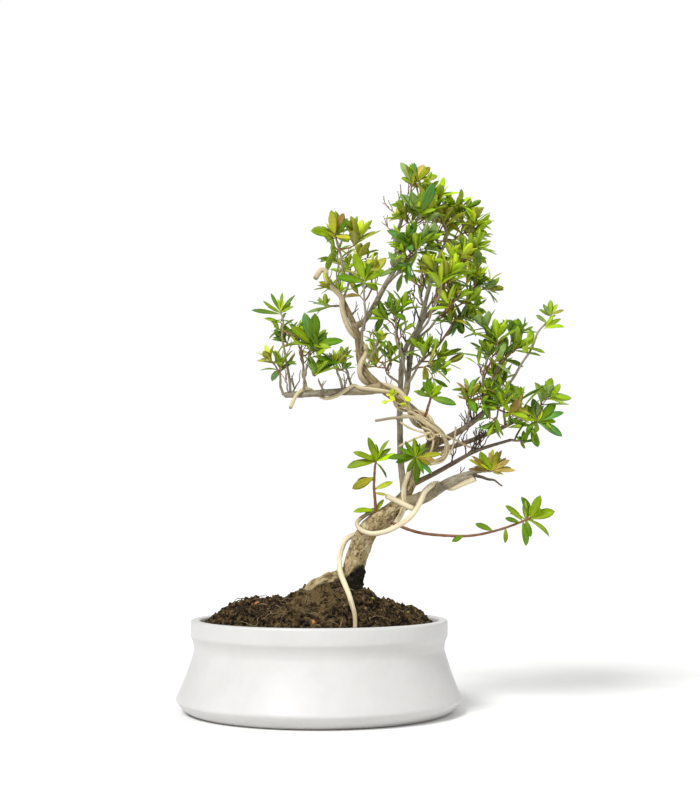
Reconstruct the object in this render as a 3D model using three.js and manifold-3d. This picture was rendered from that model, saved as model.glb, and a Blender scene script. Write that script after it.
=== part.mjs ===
// A wired azalea bonsai in a round white bowl, in millimetres.
// +X is right and +Y away as the tree is first seen, and +Z is up.
// The origin is the middle of the bowl's flat underside.
import * as THREE from "three";
import { mergeVertices } from "three/addons/utils/BufferGeometryUtils.js";
import Module from "manifold-3d";

const wasm = await Module();
wasm.setup();

// Clearances
const GAP = 0.3;
const LEAF_ROOM = 0.35;
const SLIVER = 0.004;
const SLIVER_FACE = 0.0005;
const SMOOTHING = 0.013;

// Bowl: a low band at the rim, a neck under it and a wall that flares to a rounded foot
const POT_HEIGHT = 62;
const RIM_RADIUS = 88.5;
const RIM_BAND = 11;
const NECK_RADIUS = 86;
const NECK_HEIGHT = 42;
const BELLY_RADIUS = 98;
const BELLY_HEIGHT = 9;
const FOOT_RADIUS = 88;
const POT_WALL = 4;
const POT_FLOOR = 5;
const POT_SIDES = 32;

// Soil: a mound that stands above the rim, with a level seat under the trunk and its root
const SOIL_EDGE = 60;
const SOIL_RISE = 16;
const SOIL_RINGS = 7;
const SEAT_CENTRE = [9, -2];
const SEAT_RADIUS = 24;
const SEAT_SLOPE = 13;
const SEAT_HEIGHT = 81.5;

// Training wire
const WIRE_RADIUS = 2;
const WIRE_SIDES = 5;
const WIRE_STAND = 0.85;
const WIRE_STEP = 36;
const WIRE_SMOOTHNESS = 1.1;

// Twigs and leaves
const STEM_RADIUS = [1.25, 0.85];
const TWIG_RADIUS = 0.8;
const BUD_RADIUS = 1.4;
const LEAF_THICKNESS = 0.6;
const LEAF_WIDTH = 0.5;
const LEAF_WIDEST = 0.6;
const LEAF_FOLD = 0.05;
const LEAF_DROOP = 0.06;
const LEAVES_PER_ROSETTE = 5;
const ROSETTE_RUN = 5;
const GOLDEN_ANGLE = 2.39996;
const SPACE = 1.55;
const SEED = 700;

// Limbs: the centre line, the radius at each end, the facets round and along, and the limb it grows from.
// The leader is the upper length of the trunk's own line, above the sharp bend.
const BEND = 7.35 / 15;
const LIMBS = {
  trunk: {
    points: [
      [18, 0, 74], [22, 0, 89], [26, -1, 106], [34, -1, 123], [55, 2, 141], [65, 3, 158], [69, -1, 173],
      [79, -8, 183], [78, -14, 191], [65, -17, 204], [52, -18, 214], [39, -17, 224], [29, -14, 237],
      [26, -11, 259], [17, -8, 281], [10, -8, 294],
    ],
    span: [0, BEND], radius: [6.9, 3.7], thin: [0.42, 0.64], flare: 4.5, flareRun: 0.1, sides: 11, steps: 16,
  },
  surface_root: {
    points: [[20, -2, 93], [8, -5, 90], [-2, -8, 86], [-14, -10, 75.5]],
    radius: [4.5, 2.9], sides: 7, steps: 6,
  },
  leader: { along: "trunk", span: [BEND, 1], radius: [3.7, 1.8], sides: 8, steps: 18 },
  left_bough: {
    from: "leader",
    points: [[41.7, -17, 221], [30, -18, 218.5], [16, -18, 218], [-7, -16, 216.6], [-25, -13, 216.2]],
    radius: [3.4, 2], sides: 7, steps: 9,
  },
  right_bough: {
    from: "trunk", points: [[57, 0, 141], [75, -5, 147], [90, -10, 156], [108, -14, 162.5]],
    radius: [4.6, 2.7], sides: 8, steps: 8,
  },
  upright_rear: {
    from: "trunk",
    points: [
      [59.5, 3, 149], [57.5, 15, 167], [56.7, 17, 194], [57, 18, 219], [60, 18, 250], [71, 18, 271],
      [82, 17, 311], [91, 15, 332],
    ],
    radius: [2.5, 1.3], sides: 6, steps: 14,
  },
  upright_mid: {
    from: "leader",
    points: [[55, -18, 212], [60, -9, 219], [62, -4, 232], [66, 0, 255], [76, 3, 275], [96, 4, 287]],
    radius: [2.3, 1.3], sides: 6, steps: 10,
  },
  upright_left: {
    from: "leader",
    points: [[24, -10.5, 264], [33, -4, 272], [46, 2, 296], [56.5, 6, 317], [55.5, 8, 335], [60.6, 8, 351]],
    radius: [2.2, 1.2], sides: 6, steps: 10,
  },
  right_low_branch: {
    from: "trunk", points: [[65, 3, 155], [85, 9, 165], [100, 6, 173.5], [113, 4, 179.7], [134, 2, 186]],
    radius: [1.9, 1.1], sides: 5, steps: 8,
  },
  right_high_branch: {
    from: "trunk", points: [[75.5, -5.5, 180], [98, -14, 191.8], [113, -14, 203.6], [125, -12, 215.6]],
    radius: [2.5, 1.4], sides: 6, steps: 7,
  },
  right_outer_branch: {
    from: "trunk", points: [[74, -4, 178], [95, 5, 182], [122, 10, 192.2], [139, 12, 200.2]],
    radius: [2.1, 1.2], sides: 6, steps: 7,
  },
};

// Foliage masses: the limb and the place along it where the stem leaves, where the twigs spread and how far,
// the number of rosettes and the leaf length. A shoot also bears leaves along its stem, and may bow.
const mass = (name, limb, at, centre, reach, rosettes, leaf, shoot = {}) =>
  ({ name, limb, at, centre, reach, rosettes, leaf, stemLeaves: 0, bow: [0, 0, 0], ...shoot });
const MASSES = [
  mass("left_tip", "left_bough", 1, [-33, -16, 236], [18, 18, 16], 2, 17),
  mass("left_high", "left_bough", 0.84, [-26, -4, 268], [22, 20, 20], 3, 20),
  mass("left_mid", "left_bough", 0.66, [-4, -38, 247], [21, 20, 22], 3, 20),
  mass("left_low", "left_bough", 0.5, [3, -30, 230], [13, 13, 10], 1, 12),
  mass("left_inner", "left_bough", 0.4, [16, -8, 240], [15, 15, 15], 1, 15),
  mass("left_rear", "left_bough", 0.78, [-15, 26, 254], [22, 20, 22], 3, 19),
  mass("leader_tip", "leader", 1, [1, -12, 301], [16, 16, 14], 2, 16),
  mass("leader_left", "leader", 0.86, [3, 4, 282], [20, 18, 14], 1, 17),
  mass("leader_top", "leader", 0.95, [17, -2, 324], [27, 24, 24], 3, 21),
  mass("leader_mid", "leader", 0.8, [31, -36, 294], [20, 18, 18], 3, 17),
  mass("leader_rear", "leader", 0.88, [21, 36, 316], [24, 20, 24], 3, 19),
  mass("leader_side", "leader", 0.58, [41, -24, 253], [15, 14, 14], 1, 13),
  mass("crown_tip", "upright_left", 1, [65, 8, 370], [20, 20, 20], 2, 21),
  mass("crown_high", "upright_left", 0.84, [70, -10, 344], [19, 17, 17], 2, 21),
  mass("crown_upper", "upright_rear", 1, [93, 6, 350], [18, 17, 20], 2, 21),
  mass("crown_right", "upright_rear", 0.96, [114, 12, 346], [19, 18, 18], 2, 21),
  mass("crown_right_low", "upright_mid", 0.97, [107, -26, 323], [19, 18, 16], 3, 18),
  mass("crown_mid_left", "upright_left", 0.6, [68, -34, 314], [20, 18, 18], 3, 21),
  mass("crown_centre", "upright_mid", 0.84, [90, -38, 305], [18, 18, 17], 3, 21),
  mass("crown_far_right", "upright_mid", 1, [114, 8, 302], [18, 18, 16], 2, 18),
  mass("crown_low_right", "upright_mid", 0.9, [104, -26, 284], [22, 18, 15], 3, 18),
  mass("crown_low_left", "upright_mid", 0.5, [55, -30, 273], [18, 17, 18], 2, 18),
  mass("crown_low", "upright_mid", 0.64, [98, -14, 261], [18, 17, 16], 2, 18),
  mass("crown_rear_high", "upright_rear", 0.92, [86, 45, 348], [24, 20, 22], 3, 19),
  mass("crown_rear_low", "upright_rear", 0.76, [74, 52, 313], [26, 20, 22], 3, 19),
  mass("crown_rear_right", "upright_rear", 0.82, [112, 46, 322], [22, 20, 22], 3, 19),
  mass("right_upper", "right_high_branch", 0.78, [117, -24, 248], [19, 18, 18], 2, 21),
  mass("right_upper_outer", "right_high_branch", 0.92, [139, 2, 250], [19, 18, 18], 3, 18),
  mass("right_shoot", "right_high_branch", 1, [163, 2, 268], [16, 16, 18], 1, 16),
  mass("right_outer", "right_outer_branch", 1, [152, -6, 206], [22, 20, 22], 3, 21),
  mass("right_mid", "right_high_branch", 0.72, [123, -42, 206], [18, 17, 16], 2, 18),
  mass("right_inner", "right_high_branch", 0.42, [103, -22, 216], [18, 16, 15], 2, 18),
  mass("right_rear", "right_outer_branch", 0.84, [140, 40, 228], [24, 20, 24], 3, 19),
  mass("right_low", "right_low_branch", 1, [144, 4, 184], [14, 14, 11], 1, 13),
  mass("right_bough_tip", "right_bough", 1, [120, -16, 168], [19, 17, 15], 2, 16),
  mass("centre_high", "upright_mid", 0.3, [78, -14, 236], [21, 18, 17], 3, 21),
  mass("centre_mid", "leader", 0.16, [75, -44, 212], [19, 16, 16], 2, 18),
  mass("centre_low", "trunk", 0.85, [62, -22, 178], [19, 17, 16], 2, 17),
  mass("front_shoot", "trunk", 0.45, [39, -14, 170.5], [22, 19, 30], 1, 19, { stemLeaves: 3 }),
  mass("long_shoot", "trunk", 0.5, [146, -14, 132], [44, 18, 20], 1, 17, { stemLeaves: 5, bow: [6, 0, -13] }),
  mass("rear_middle", "upright_rear", 0.46, [45, 43, 247], [24, 20, 22], 3, 19),
];

// Finishes
const FINISHES = {
  pot: { color: 0xe9e8e6, roughness: 0.45, metalness: 0 },
  soil: { color: 0x4a3d2c, roughness: 0.95, metalness: 0 },
  bark: { color: 0xa08d66, roughness: 0.85, metalness: 0 },
  branch: { color: 0x938c78, roughness: 0.85, metalness: 0 },
  wire: { color: 0xd8c8a4, roughness: 0.6, metalness: 0 },
  leaf: { color: 0x76923c, roughness: 0.45, metalness: 0 },
};

const mix = THREE.MathUtils.lerp;
const vec = (point) => new THREE.Vector3(...point);

// A closed solid of a geometry, for joining and cutting.
function solidOf(geometry) {
  const bare = geometry.clone();
  bare.deleteAttribute("normal");
  bare.deleteAttribute("uv");
  const merged = mergeVertices(bare, 1e-4);
  return new wasm.Manifold(new wasm.Mesh({
    numProp: 3,
    vertProperties: Float32Array.from(merged.attributes.position.array),
    triVerts: Uint32Array.from(merged.index.array),
  }));
}

// The geometry of a solid, its largest faces first.
function geometryOf(solid) {
  const { vertProperties, triVerts } = solid.getMesh();
  const corner = (i) => new THREE.Vector3().fromArray(vertProperties, 3 * triVerts[i]);
  const area = (i) => new THREE.Triangle(corner(i), corner(i + 1), corner(i + 2)).getArea();
  const firsts = Array.from({ length: triVerts.length / 3 }, (_, face) => 3 * face);
  const faces = firsts.map((first) => ({ first, size: area(first) })).sort((a, b) => b.size - a.size);
  const geometry = new THREE.BufferGeometry();
  geometry.setAttribute("position", new THREE.BufferAttribute(Float32Array.from(vertProperties), 3));
  geometry.setIndex(faces.flatMap(({ first }) => [...triVerts.slice(first, first + 3)]));
  return geometry;
}

// Numbers from 0 to 1 that follow from a seed alone.
function seeded(seed) {
  let state = seed >>> 0;
  return () => {
    state = (state + 0x6d2b79f5) >>> 0;
    let mixed = Math.imul(state ^ (state >>> 15), 1 | state);
    mixed = (mixed + Math.imul(mixed ^ (mixed >>> 7), 61 | mixed)) ^ mixed;
    return ((mixed ^ (mixed >>> 14)) >>> 0) / 4294967296;
  };
}

// The directions across a path: front faces as asked, and side lies to its right.
function frameAt(direction, facing) {
  const front = facing.clone().addScaledVector(direction, -facing.dot(direction)).normalize();
  const side = new THREE.Vector3().crossVectors(direction, front);
  return { front, side };
}

// A closed cylinder bent along a path, its radius a function of the place along it and the angle round it.
function bentCylinder(path, radius, sides, steps, facing) {
  const geometry = new THREE.CylinderGeometry(1, 1, 1, sides, steps);
  const place = geometry.attributes.position;
  for (let i = 0; i < place.count; i += 1) {
    const t = THREE.MathUtils.clamp(place.getY(i) + 0.5, 0, 1);
    const { front, side } = frameAt(path.direction(t), facing);
    const size = radius(t, Math.atan2(place.getX(i), place.getZ(i)));
    const point = path.point(t)
      .addScaledVector(side, place.getX(i) * size)
      .addScaledVector(front, place.getZ(i) * size);
    place.setXYZ(i, point.x, point.y, point.z);
  }
  return geometry;
}

// Limbs
const VIEWER = new THREE.Vector3(0, -1, 0);

function limbOf(name) {
  const row = LIMBS[name];
  const points = LIMBS[row.along ?? name].points.map(vec);
  const curve = new THREE.CatmullRomCurve3(points, false, "catmullrom", 0.5);
  const [start, end] = row.span ?? [0, 1];
  const flare = (t, run) => (row.flare ?? 0) * Math.exp(-t / (run * (row.flareRun ?? 1)));
  const taper = (t) => (row.thin ? THREE.MathUtils.smoothstep(t, ...row.thin) : t);
  return {
    point: (t) => curve.getPoint(mix(start, end, t)),
    direction: (t) => curve.getTangent(mix(start, end, t)),
    radius: (t, angle) => (mix(...row.radius, taper(t)) + flare(t, 1))
      * (1 + 0.023 * flare(t, 2) * Math.cos(3 * angle + 1.2)),
  };
}

const limbs = Object.fromEntries(Object.keys(LIMBS).map((name) => [name, limbOf(name)]));

// A limb's solid between two places along it, swollen by a margin when it is to be cut out of its neighbours.
function limbSolid(name, margin = 0, ends = [0, 1]) {
  const row = LIMBS[name];
  const limb = limbs[name];
  const outset = margin / Math.cos(Math.PI / row.sides);
  const at = (t) => mix(...ends, t);
  const path = { point: (t) => limb.point(at(t)), direction: (t) => limb.direction(at(t)) };
  const radius = (t, angle) => limb.radius(at(t), angle) + outset;
  return solidOf(bentCylinder(path, radius, row.sides, row.steps, VIEWER));
}

// The trunk and the leader part a hair's breadth at the bend, and branches keep clear of the parting too.
const TRUNK_ENDS = [0, 0.995];
const LEADER_ENDS = [0.005, 1];
const PARTING_ENDS = [0.96, 1.02];
const level = new THREE.BoxGeometry(120, 120, 40);
level.translate(SEAT_CENTRE[0], SEAT_CENTRE[1], SEAT_HEIGHT + GAP - 20);
const solids = {
  trunk: limbSolid("trunk", 0, TRUNK_ENDS).add(limbSolid("surface_root")).subtract(solidOf(level)),
  leader: limbSolid("leader", 0, LEADER_ENDS),
};
const cutters = {
  trunk: limbSolid("trunk", GAP, TRUNK_ENDS),
  leader: limbSolid("leader", GAP, LEADER_ENDS),
};
const parting = limbSolid("trunk", GAP, PARTING_ENDS);
for (const [name, row] of Object.entries(LIMBS)) {
  if (!row.from) continue;
  solids[name] = limbSolid(name).subtract(cutters.trunk).subtract(cutters.leader).subtract(parting);
  cutters[name] = limbSolid(name, GAP);
}

// Training wire: each runs free in the air, or held off a limb at an angle counted from the viewer's side
function heldAt(name, t, degrees, clear) {
  const limb = limbs[name];
  const { front, side } = frameAt(limb.direction(t), VIEWER);
  const angle = THREE.MathUtils.degToRad(degrees);
  const off = limb.radius(t, angle) + WIRE_RADIUS + WIRE_STAND + clear;
  return limb.point(t)
    .addScaledVector(front, off * Math.cos(angle))
    .addScaledVector(side, off * Math.sin(angle));
}

// Points of a wire wound on a limb, through each named place along it and angle round it. A third number there
// is how far the wire stands clear of the limb.
function wound(name, turns) {
  const points = [];
  for (let i = 0; i < turns.length; i += 1) {
    const [end, last, clear = 0] = turns[i];
    const [start, first, before = 0] = turns[Math.max(0, i - 1)];
    const count = Math.max(1, Math.round(Math.abs(last - first) / WIRE_STEP));
    for (let k = 1; k <= count; k += 1) {
      const share = k / count;
      points.push(heldAt(name, mix(start, end, share), mix(first, last, share), mix(before, clear, share)));
    }
  }
  return points;
}

const WIRES = {
  trunk_wire: [
    vec([24, -64, 72.5]), vec([20.5, -42, 80]), vec([14, -14.5, 97]),
    ...wound("trunk", [
      [0.27, -95, 2.5], [0.33, -115, 2.2], [0.4, -175, 0.3], [0.49, -180], [0.56, -115], [0.64, -85], [0.72, -70],
      [0.86, 10],
    ]),
  ],
  leader_wire: wound("leader", [
    [0.06, 130], [0.3, 405], [0.36, 440], [0.48, 540], [0.61, 720], [0.765, 960], [0.92, 1100],
  ]),
  bough_wire: [
    ...wound("trunk", [[0.47, 235], [0.42, 270], [0.4, 320], [0.43, 365], [0.49, 400]]),
    ...wound("right_bough", [[0.14, 30], [0.24, -30], [0.36, -90], [0.46, -180], [0.6, -270], [0.9, -310]]),
  ],
  tail_wire: [vec([44, -15, 147]), ...wound("trunk", [[0.505, -35], [0.52, -15], [0.535, 5]])],
  left_wire: [
    vec([38, -28, 197]), vec([52, -29, 199]), vec([66, -28, 199]),
    ...wound("leader", [[0.1, 10], [0.37, 365]]),
    ...wound("left_bough", [[0.3, 30], [0.37, 70], [0.62, -90], [0.86, -370]]),
    vec([-20, -23, 206]),
  ],
};

function wireSolid(points) {
  const outline = new THREE.Shape();
  for (let i = 0; i < WIRE_SIDES; i += 1) {
    const angle = (i * 2 * Math.PI) / WIRE_SIDES;
    const corner = [WIRE_RADIUS * Math.cos(angle), WIRE_RADIUS * Math.sin(angle)];
    if (i) outline.lineTo(...corner);
    else outline.moveTo(...corner);
  }
  const extrudePath = new THREE.CatmullRomCurve3(points, false, "centripetal");
  const steps = Math.round(points.length * WIRE_SMOOTHNESS);
  return solidOf(new THREE.ExtrudeGeometry(outline, { steps, extrudePath }));
}

for (const [name, points] of Object.entries(WIRES)) solids[name] = wireSolid(points);

// Bowl
function potGeometry() {
  const outline = new THREE.Path();
  const inner = NECK_RADIUS - POT_WALL;
  outline.moveTo(0, 0);
  outline.lineTo(FOOT_RADIUS, 0);
  outline.quadraticCurveTo(BELLY_RADIUS - 3, 3, BELLY_RADIUS, BELLY_HEIGHT);
  outline.quadraticCurveTo(NECK_RADIUS + 3.4, NECK_HEIGHT * 0.66, NECK_RADIUS, NECK_HEIGHT);
  outline.quadraticCurveTo(NECK_RADIUS + 0.2, POT_HEIGHT - RIM_BAND - 3, RIM_RADIUS, POT_HEIGHT - RIM_BAND);
  outline.lineTo(RIM_RADIUS, POT_HEIGHT - 1);
  outline.lineTo(RIM_RADIUS - 1, POT_HEIGHT);
  outline.lineTo(inner + 1.5, POT_HEIGHT);
  outline.lineTo(inner, POT_HEIGHT - 1.5);
  outline.lineTo(inner, NECK_HEIGHT);
  outline.lineTo(BELLY_RADIUS - POT_WALL, BELLY_HEIGHT + 2);
  outline.lineTo(FOOT_RADIUS, POT_FLOOR);
  outline.lineTo(0, POT_FLOOR);
  return new THREE.LatheGeometry(outline.getPoints(3), POT_SIDES).rotateX(Math.PI / 2);
}

// Soil
function soilHeight(x, y) {
  const out = Math.hypot(x, y) / (NECK_RADIUS - POT_WALL);
  const off = Math.hypot(x - SEAT_CENTRE[0], y - SEAT_CENTRE[1]);
  const broad = 1.4 * Math.sin(0.11 * x + 0.5) * Math.cos(0.13 * y - 0.8);
  const small = 0.8 * Math.sin(0.23 * x - 0.19 * y);
  const mound = SOIL_EDGE + SOIL_RISE * (1 - out ** 4) + (broad + small) * (1 - out ** 6);
  const slope = THREE.MathUtils.smoothstep(off, SEAT_RADIUS, SEAT_RADIUS + SEAT_SLOPE);
  return Math.min(mix(SEAT_HEIGHT, mound, slope), SEAT_HEIGHT);
}

function soilGeometry() {
  const wall = NECK_RADIUS - POT_WALL - GAP - 0.1;
  const floor = POT_FLOOR + GAP;
  const outline = [
    [0, floor], [FOOT_RADIUS - GAP, floor], [BELLY_RADIUS - POT_WALL - 0.5, BELLY_HEIGHT + 2],
    [wall, NECK_HEIGHT], [wall, SOIL_EDGE],
  ].map((point) => new THREE.Vector2(...point));
  for (let ring = SOIL_RINGS - 1; ring >= 0; ring -= 1) {
    outline.push(new THREE.Vector2((wall * ring) / SOIL_RINGS, SOIL_EDGE + 1));
  }
  const geometry = new THREE.LatheGeometry(outline, POT_SIDES).rotateX(Math.PI / 2);
  const place = geometry.attributes.position;
  for (let i = 0; i < place.count; i += 1) {
    if (place.getZ(i) > SOIL_EDGE + 0.5) place.setZ(i, soilHeight(place.getX(i), place.getY(i)));
  }
  return geometry;
}

// Foliage: a stem from the limb, twigs from the stem, and a rosette of leaves at each twig's tip
function curveOf(start, bend, end) {
  const curve = new THREE.QuadraticBezierCurve3(start, bend, end);
  return { point: (t) => curve.getPoint(t), direction: (t) => curve.getTangent(t) };
}

function twigSolid(path, ends, steps) {
  const along = path.point(1).sub(path.point(0)).normalize();
  const sizes = along.toArray().map(Math.abs);
  const facing = new THREE.Vector3(0.3, 0.2, 0.1).setComponent(sizes.indexOf(Math.min(...sizes)), 1);
  return solidOf(bentCylinder(path, (t) => mix(...ends, t), 3, steps, facing));
}

// The stem leaves a limb's side square to it, or its tip in line with it, and bends to the mass's middle.
function stemPath(row) {
  const limb = limbs[row.limb];
  const centre = vec(row.centre);
  const bow = vec(row.bow);
  const origin = limb.point(row.at);
  const direction = limb.direction(row.at);
  const tip = row.at === 1;
  const aim = centre.clone().sub(origin).addScaledVector(bow, 2);
  const leave = tip ? direction : aim.clone().addScaledVector(direction, -aim.dot(direction)).normalize();
  const bend = origin.clone().lerp(centre, 0.5).add(bow);
  bend.addScaledVector(leave, 0.16 * centre.distanceTo(origin));
  const slant = bend.clone().sub(origin).normalize().dot(direction);
  const off = tip ? GAP + STEM_RADIUS[0] * Math.sqrt(Math.max(0, 1 - slant * slant)) : 0;
  return curveOf(origin.addScaledVector(direction, off), bend, centre);
}

function stemSolid(row, stem) {
  const end = row.rosettes === 1 ? BUD_RADIUS : STEM_RADIUS[1];
  const whole = twigSolid(stem, [STEM_RADIUS[0], end], 4);
  return row.at === 1 ? whole : whole.subtract(cutters[row.limb]);
}

// The twigs spread from the stem by the golden angle. A lone rosette sits on the stem itself.
function twigPaths(row, stem, random) {
  if (row.rosettes === 1) return [stem];
  return Array.from({ length: row.rosettes }, (_, i) => {
    const turn = i * GOLDEN_ANGLE + 2 * Math.PI * random();
    const out = 0.42 + 0.12 * random();
    const rise = 0.16 + 0.2 * random() - (i % 2) * 0.3;
    const spread = [out * Math.cos(turn), out * Math.sin(turn), rise];
    const tip = vec(row.centre.map((c, axis) => c + row.reach[axis] * spread[axis]));
    const start = stem.point(0.92 - 0.15 * i);
    const bend = start.clone().lerp(tip, 0.6).add(new THREE.Vector3(0, 0, -0.12 * row.reach[2]));
    return curveOf(start, bend, tip);
  });
}

// A leaf's place: its root in the twig, the way it points, the way across it and its upper face.
function leafAt(root, axis, turn, tilt, length) {
  const { front, side } = frameAt(axis, new THREE.Vector3(Math.abs(axis.z) > 0.9 ? 1 : 0, 0, 1));
  const radial = front.multiplyScalar(Math.cos(turn)).addScaledVector(side, Math.sin(turn));
  const direction = axis.clone().multiplyScalar(Math.cos(tilt)).addScaledVector(radial, Math.sin(tilt));
  const up = axis.clone().multiplyScalar(Math.sin(tilt)).addScaledVector(radial, -Math.cos(tilt));
  const across = new THREE.Vector3().crossVectors(up, direction);
  return { root: root.clone().addScaledVector(direction, -0.5), direction, across, up, length };
}

// An eight-faced leaf, folded up a little along its midrib, its root sunk as asked.
function leafSolid(leaf, room, sink = 0) {
  const geometry = new THREE.OctahedronGeometry(1, 0);
  const place = geometry.attributes.position;
  const width = leaf.length * LEAF_WIDTH * 0.5 + room;
  const thick = LEAF_THICKNESS * 0.5 + room;
  for (let i = 0; i < place.count; i += 1) {
    const [x, y, z] = [place.getX(i), place.getY(i), place.getZ(i)];
    const edge = Math.abs(y) > 0.5;
    const share = edge ? LEAF_WIDEST : mix(0.5 + 0.5 * x, 0.36, Math.abs(z));
    const lift = edge ? leaf.length * LEAF_FOLD : z * thick - LEAF_DROOP * leaf.length * Math.max(x, 0);
    const point = leaf.root.clone()
      .addScaledVector(leaf.direction, share * (leaf.length + 2 * room) - room - sink)
      .addScaledVector(leaf.across, y * width)
      .addScaledVector(leaf.up, lift);
    place.setXYZ(i, point.x, point.y, point.z);
  }
  return solidOf(geometry);
}

// The leaves of a rosette, from the lowest and flattest to the uppermost and steepest.
function rosette(row, twig, random) {
  const axis = twig.direction(1).add(new THREE.Vector3(0, 0, 0.5)).normalize();
  const run = Math.min(0.4, ROSETTE_RUN / twig.point(0).distanceTo(twig.point(1)));
  const start = 2 * Math.PI * random();
  return Array.from({ length: LEAVES_PER_ROSETTE }, (_, k) => {
    const rank = k / (LEAVES_PER_ROSETTE - 1);
    const tilt = mix(1.45, 0.5, rank) + 0.2 * (random() - 0.5);
    const length = row.leaf * mix(1.05, 0.75, rank) * (0.9 + 0.2 * random());
    return leafAt(twig.point(mix(1 - run, 0.98, rank)), axis, start + k * GOLDEN_ANGLE, tilt, length);
  });
}

// The leaves set one by one along a shoot's stem.
function stemLeaves(row, stem, random) {
  return Array.from({ length: row.stemLeaves }, (_, k) => {
    const t = mix(0.45, 0.92, k / Math.max(1, row.stemLeaves - 1));
    const turn = k * GOLDEN_ANGLE + random();
    return leafAt(stem.point(t), stem.direction(t), turn, 1.05, row.leaf * (0.85 + 0.2 * random()));
  });
}

// A leaf tip's distance from the middle of its mass, as a share of the reach.
function shareOf(row, leaf) {
  const tip = leaf.root.clone().addScaledVector(leaf.direction, leaf.length).toArray();
  return Math.hypot(...tip.map((value, axis) => (value - row.centre[axis]) / row.reach[axis]));
}

const boxed = (solid) => ({ solid, box: solid.boundingBox() });
const boxesMeet = (a, b) => a.min.every((low, i) => low <= b.max[i] && b.min[i] <= a.max[i]);

function meets(solid, others) {
  const box = solid.boundingBox();
  return others.some((other) => boxesMeet(box, other.box) && solid.intersect(other.solid).volume() > 1e-6);
}

// Growth: the stems, then the twigs, then the leaves.
// A twig or leaf that would touch a neighbour, or a leaf that would leave its space, is skipped.
const standing = [...Object.values(solids), solidOf(potGeometry()), solidOf(soilGeometry())].map(boxed);
const growing = MASSES.map((row, index) => {
  const random = seeded(SEED + 31 * index);
  const stem = stemPath(row);
  const leaves = stemLeaves(row, stem, random);
  return { row, random, stem, leaves, pieces: [boxed(stemSolid(row, stem))] };
});

function neighboursOf(grown) {
  return standing.concat(...growing.filter((other) => other !== grown).map((other) => other.pieces));
}

for (const grown of growing) {
  for (const twig of twigPaths(grown.row, grown.stem, grown.random)) {
    const leaves = rosette(grown.row, twig, grown.random);
    if (twig !== grown.stem) {
      const solid = twigSolid(twig, [TWIG_RADIUS, BUD_RADIUS], 2);
      if (meets(solid, neighboursOf(grown))) continue;
      grown.pieces.push(boxed(solid));
    }
    for (const leaf of leaves) grown.leaves.push({ ...leaf, spray: grown.pieces.length });
  }
}

for (const grown of growing) {
  for (const leaf of grown.leaves) {
    if (shareOf(grown.row, leaf) > SPACE) continue;
    const otherSprays = grown.pieces.filter((piece) => piece.spray && piece.spray !== leaf.spray);
    if (meets(leafSolid(leaf, LEAF_ROOM), neighboursOf(grown).concat(otherSprays))) continue;
    grown.pieces.push({ ...boxed(leafSolid(leaf, 0)), spray: leaf.spray, leaf });
  }
}

// Whether a face of a solid, or the space between two of its corners, is too thin to keep when it is stored.
function hasSliver(solid) {
  const { vertProperties, triVerts } = solid.getMesh();
  const corner = (i) => new THREE.Vector3().fromArray(vertProperties, 3 * i);
  const corners = Array.from({ length: vertProperties.length / 3 }, (_, i) => corner(i));
  for (let i = 0; i < triVerts.length; i += 3) {
    const face = new THREE.Triangle(corners[triVerts[i]], corners[triVerts[i + 1]], corners[triVerts[i + 2]]);
    const longest = Math.max(face.a.distanceTo(face.b), face.b.distanceTo(face.c), face.c.distanceTo(face.a));
    if (2 * face.getArea() < SLIVER_FACE * longest) return true;
  }
  return corners.some((corner, i) => corners.slice(0, i).some((other) => corner.distanceTo(other) < SLIVER));
}

// The joined solid of a mass, its largest body alone. Leaf roots sink deeper until no sliver is left.
function joined({ row, pieces }) {
  for (let sink = 0; sink < 0.6; sink += 0.04) {
    const parts = pieces.map(({ solid, leaf }) => (leaf ? leafSolid(leaf, 0, sink) : solid));
    const bodies = wasm.Manifold.union(parts).asOriginal().simplify(SMOOTHING).decompose();
    const whole = bodies.sort((a, b) => b.volume() - a.volume())[0];
    if (!hasSliver(whole)) return whole;
  }
  throw new Error(`${row.name} keeps a sliver`);
}

// The whole plant in its bowl
const group = new THREE.Group();

function place(name, geometry, finish) {
  const mesh = new THREE.Mesh(geometry, new THREE.MeshStandardMaterial(FINISHES[finish]));
  mesh.name = name;
  group.add(mesh);
}

const finishOf = (name) => (name in WIRES ? "wire" : name === "trunk" ? "bark" : "branch");
place("pot", potGeometry(), "pot");
place("soil", soilGeometry(), "soil");
for (const [name, solid] of Object.entries(solids)) place(name, geometryOf(solid), finishOf(name));
for (const grown of growing) place(`${grown.row.name}_foliage`, geometryOf(joined(grown)), "leaf");

export default group;
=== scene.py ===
"""Dresses the potted azalea bonsai: white bowl, soil, barked wood, training wire, twigs and leaves.

Lengths are in millimetres until a surface is placed, where they become metres.
"""

import logging
import math
from dataclasses import dataclass, field, replace
from enum import Enum

import bpy
import numpy as np
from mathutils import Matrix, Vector


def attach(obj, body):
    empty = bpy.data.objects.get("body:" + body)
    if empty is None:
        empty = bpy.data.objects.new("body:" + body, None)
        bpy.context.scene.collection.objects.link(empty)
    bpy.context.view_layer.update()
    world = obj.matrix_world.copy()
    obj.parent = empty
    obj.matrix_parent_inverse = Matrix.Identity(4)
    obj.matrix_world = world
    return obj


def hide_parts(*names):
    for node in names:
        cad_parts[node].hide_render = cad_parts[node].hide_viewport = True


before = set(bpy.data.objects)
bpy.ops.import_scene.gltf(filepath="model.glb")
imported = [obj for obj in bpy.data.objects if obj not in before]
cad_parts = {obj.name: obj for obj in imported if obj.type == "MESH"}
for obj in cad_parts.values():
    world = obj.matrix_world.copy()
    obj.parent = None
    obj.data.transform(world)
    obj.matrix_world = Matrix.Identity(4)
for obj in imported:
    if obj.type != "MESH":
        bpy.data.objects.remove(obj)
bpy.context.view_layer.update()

LOG = logging.getLogger("azalea")
Array = np.ndarray
Number = np.ndarray | float
Pair = tuple[float, float]
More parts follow.
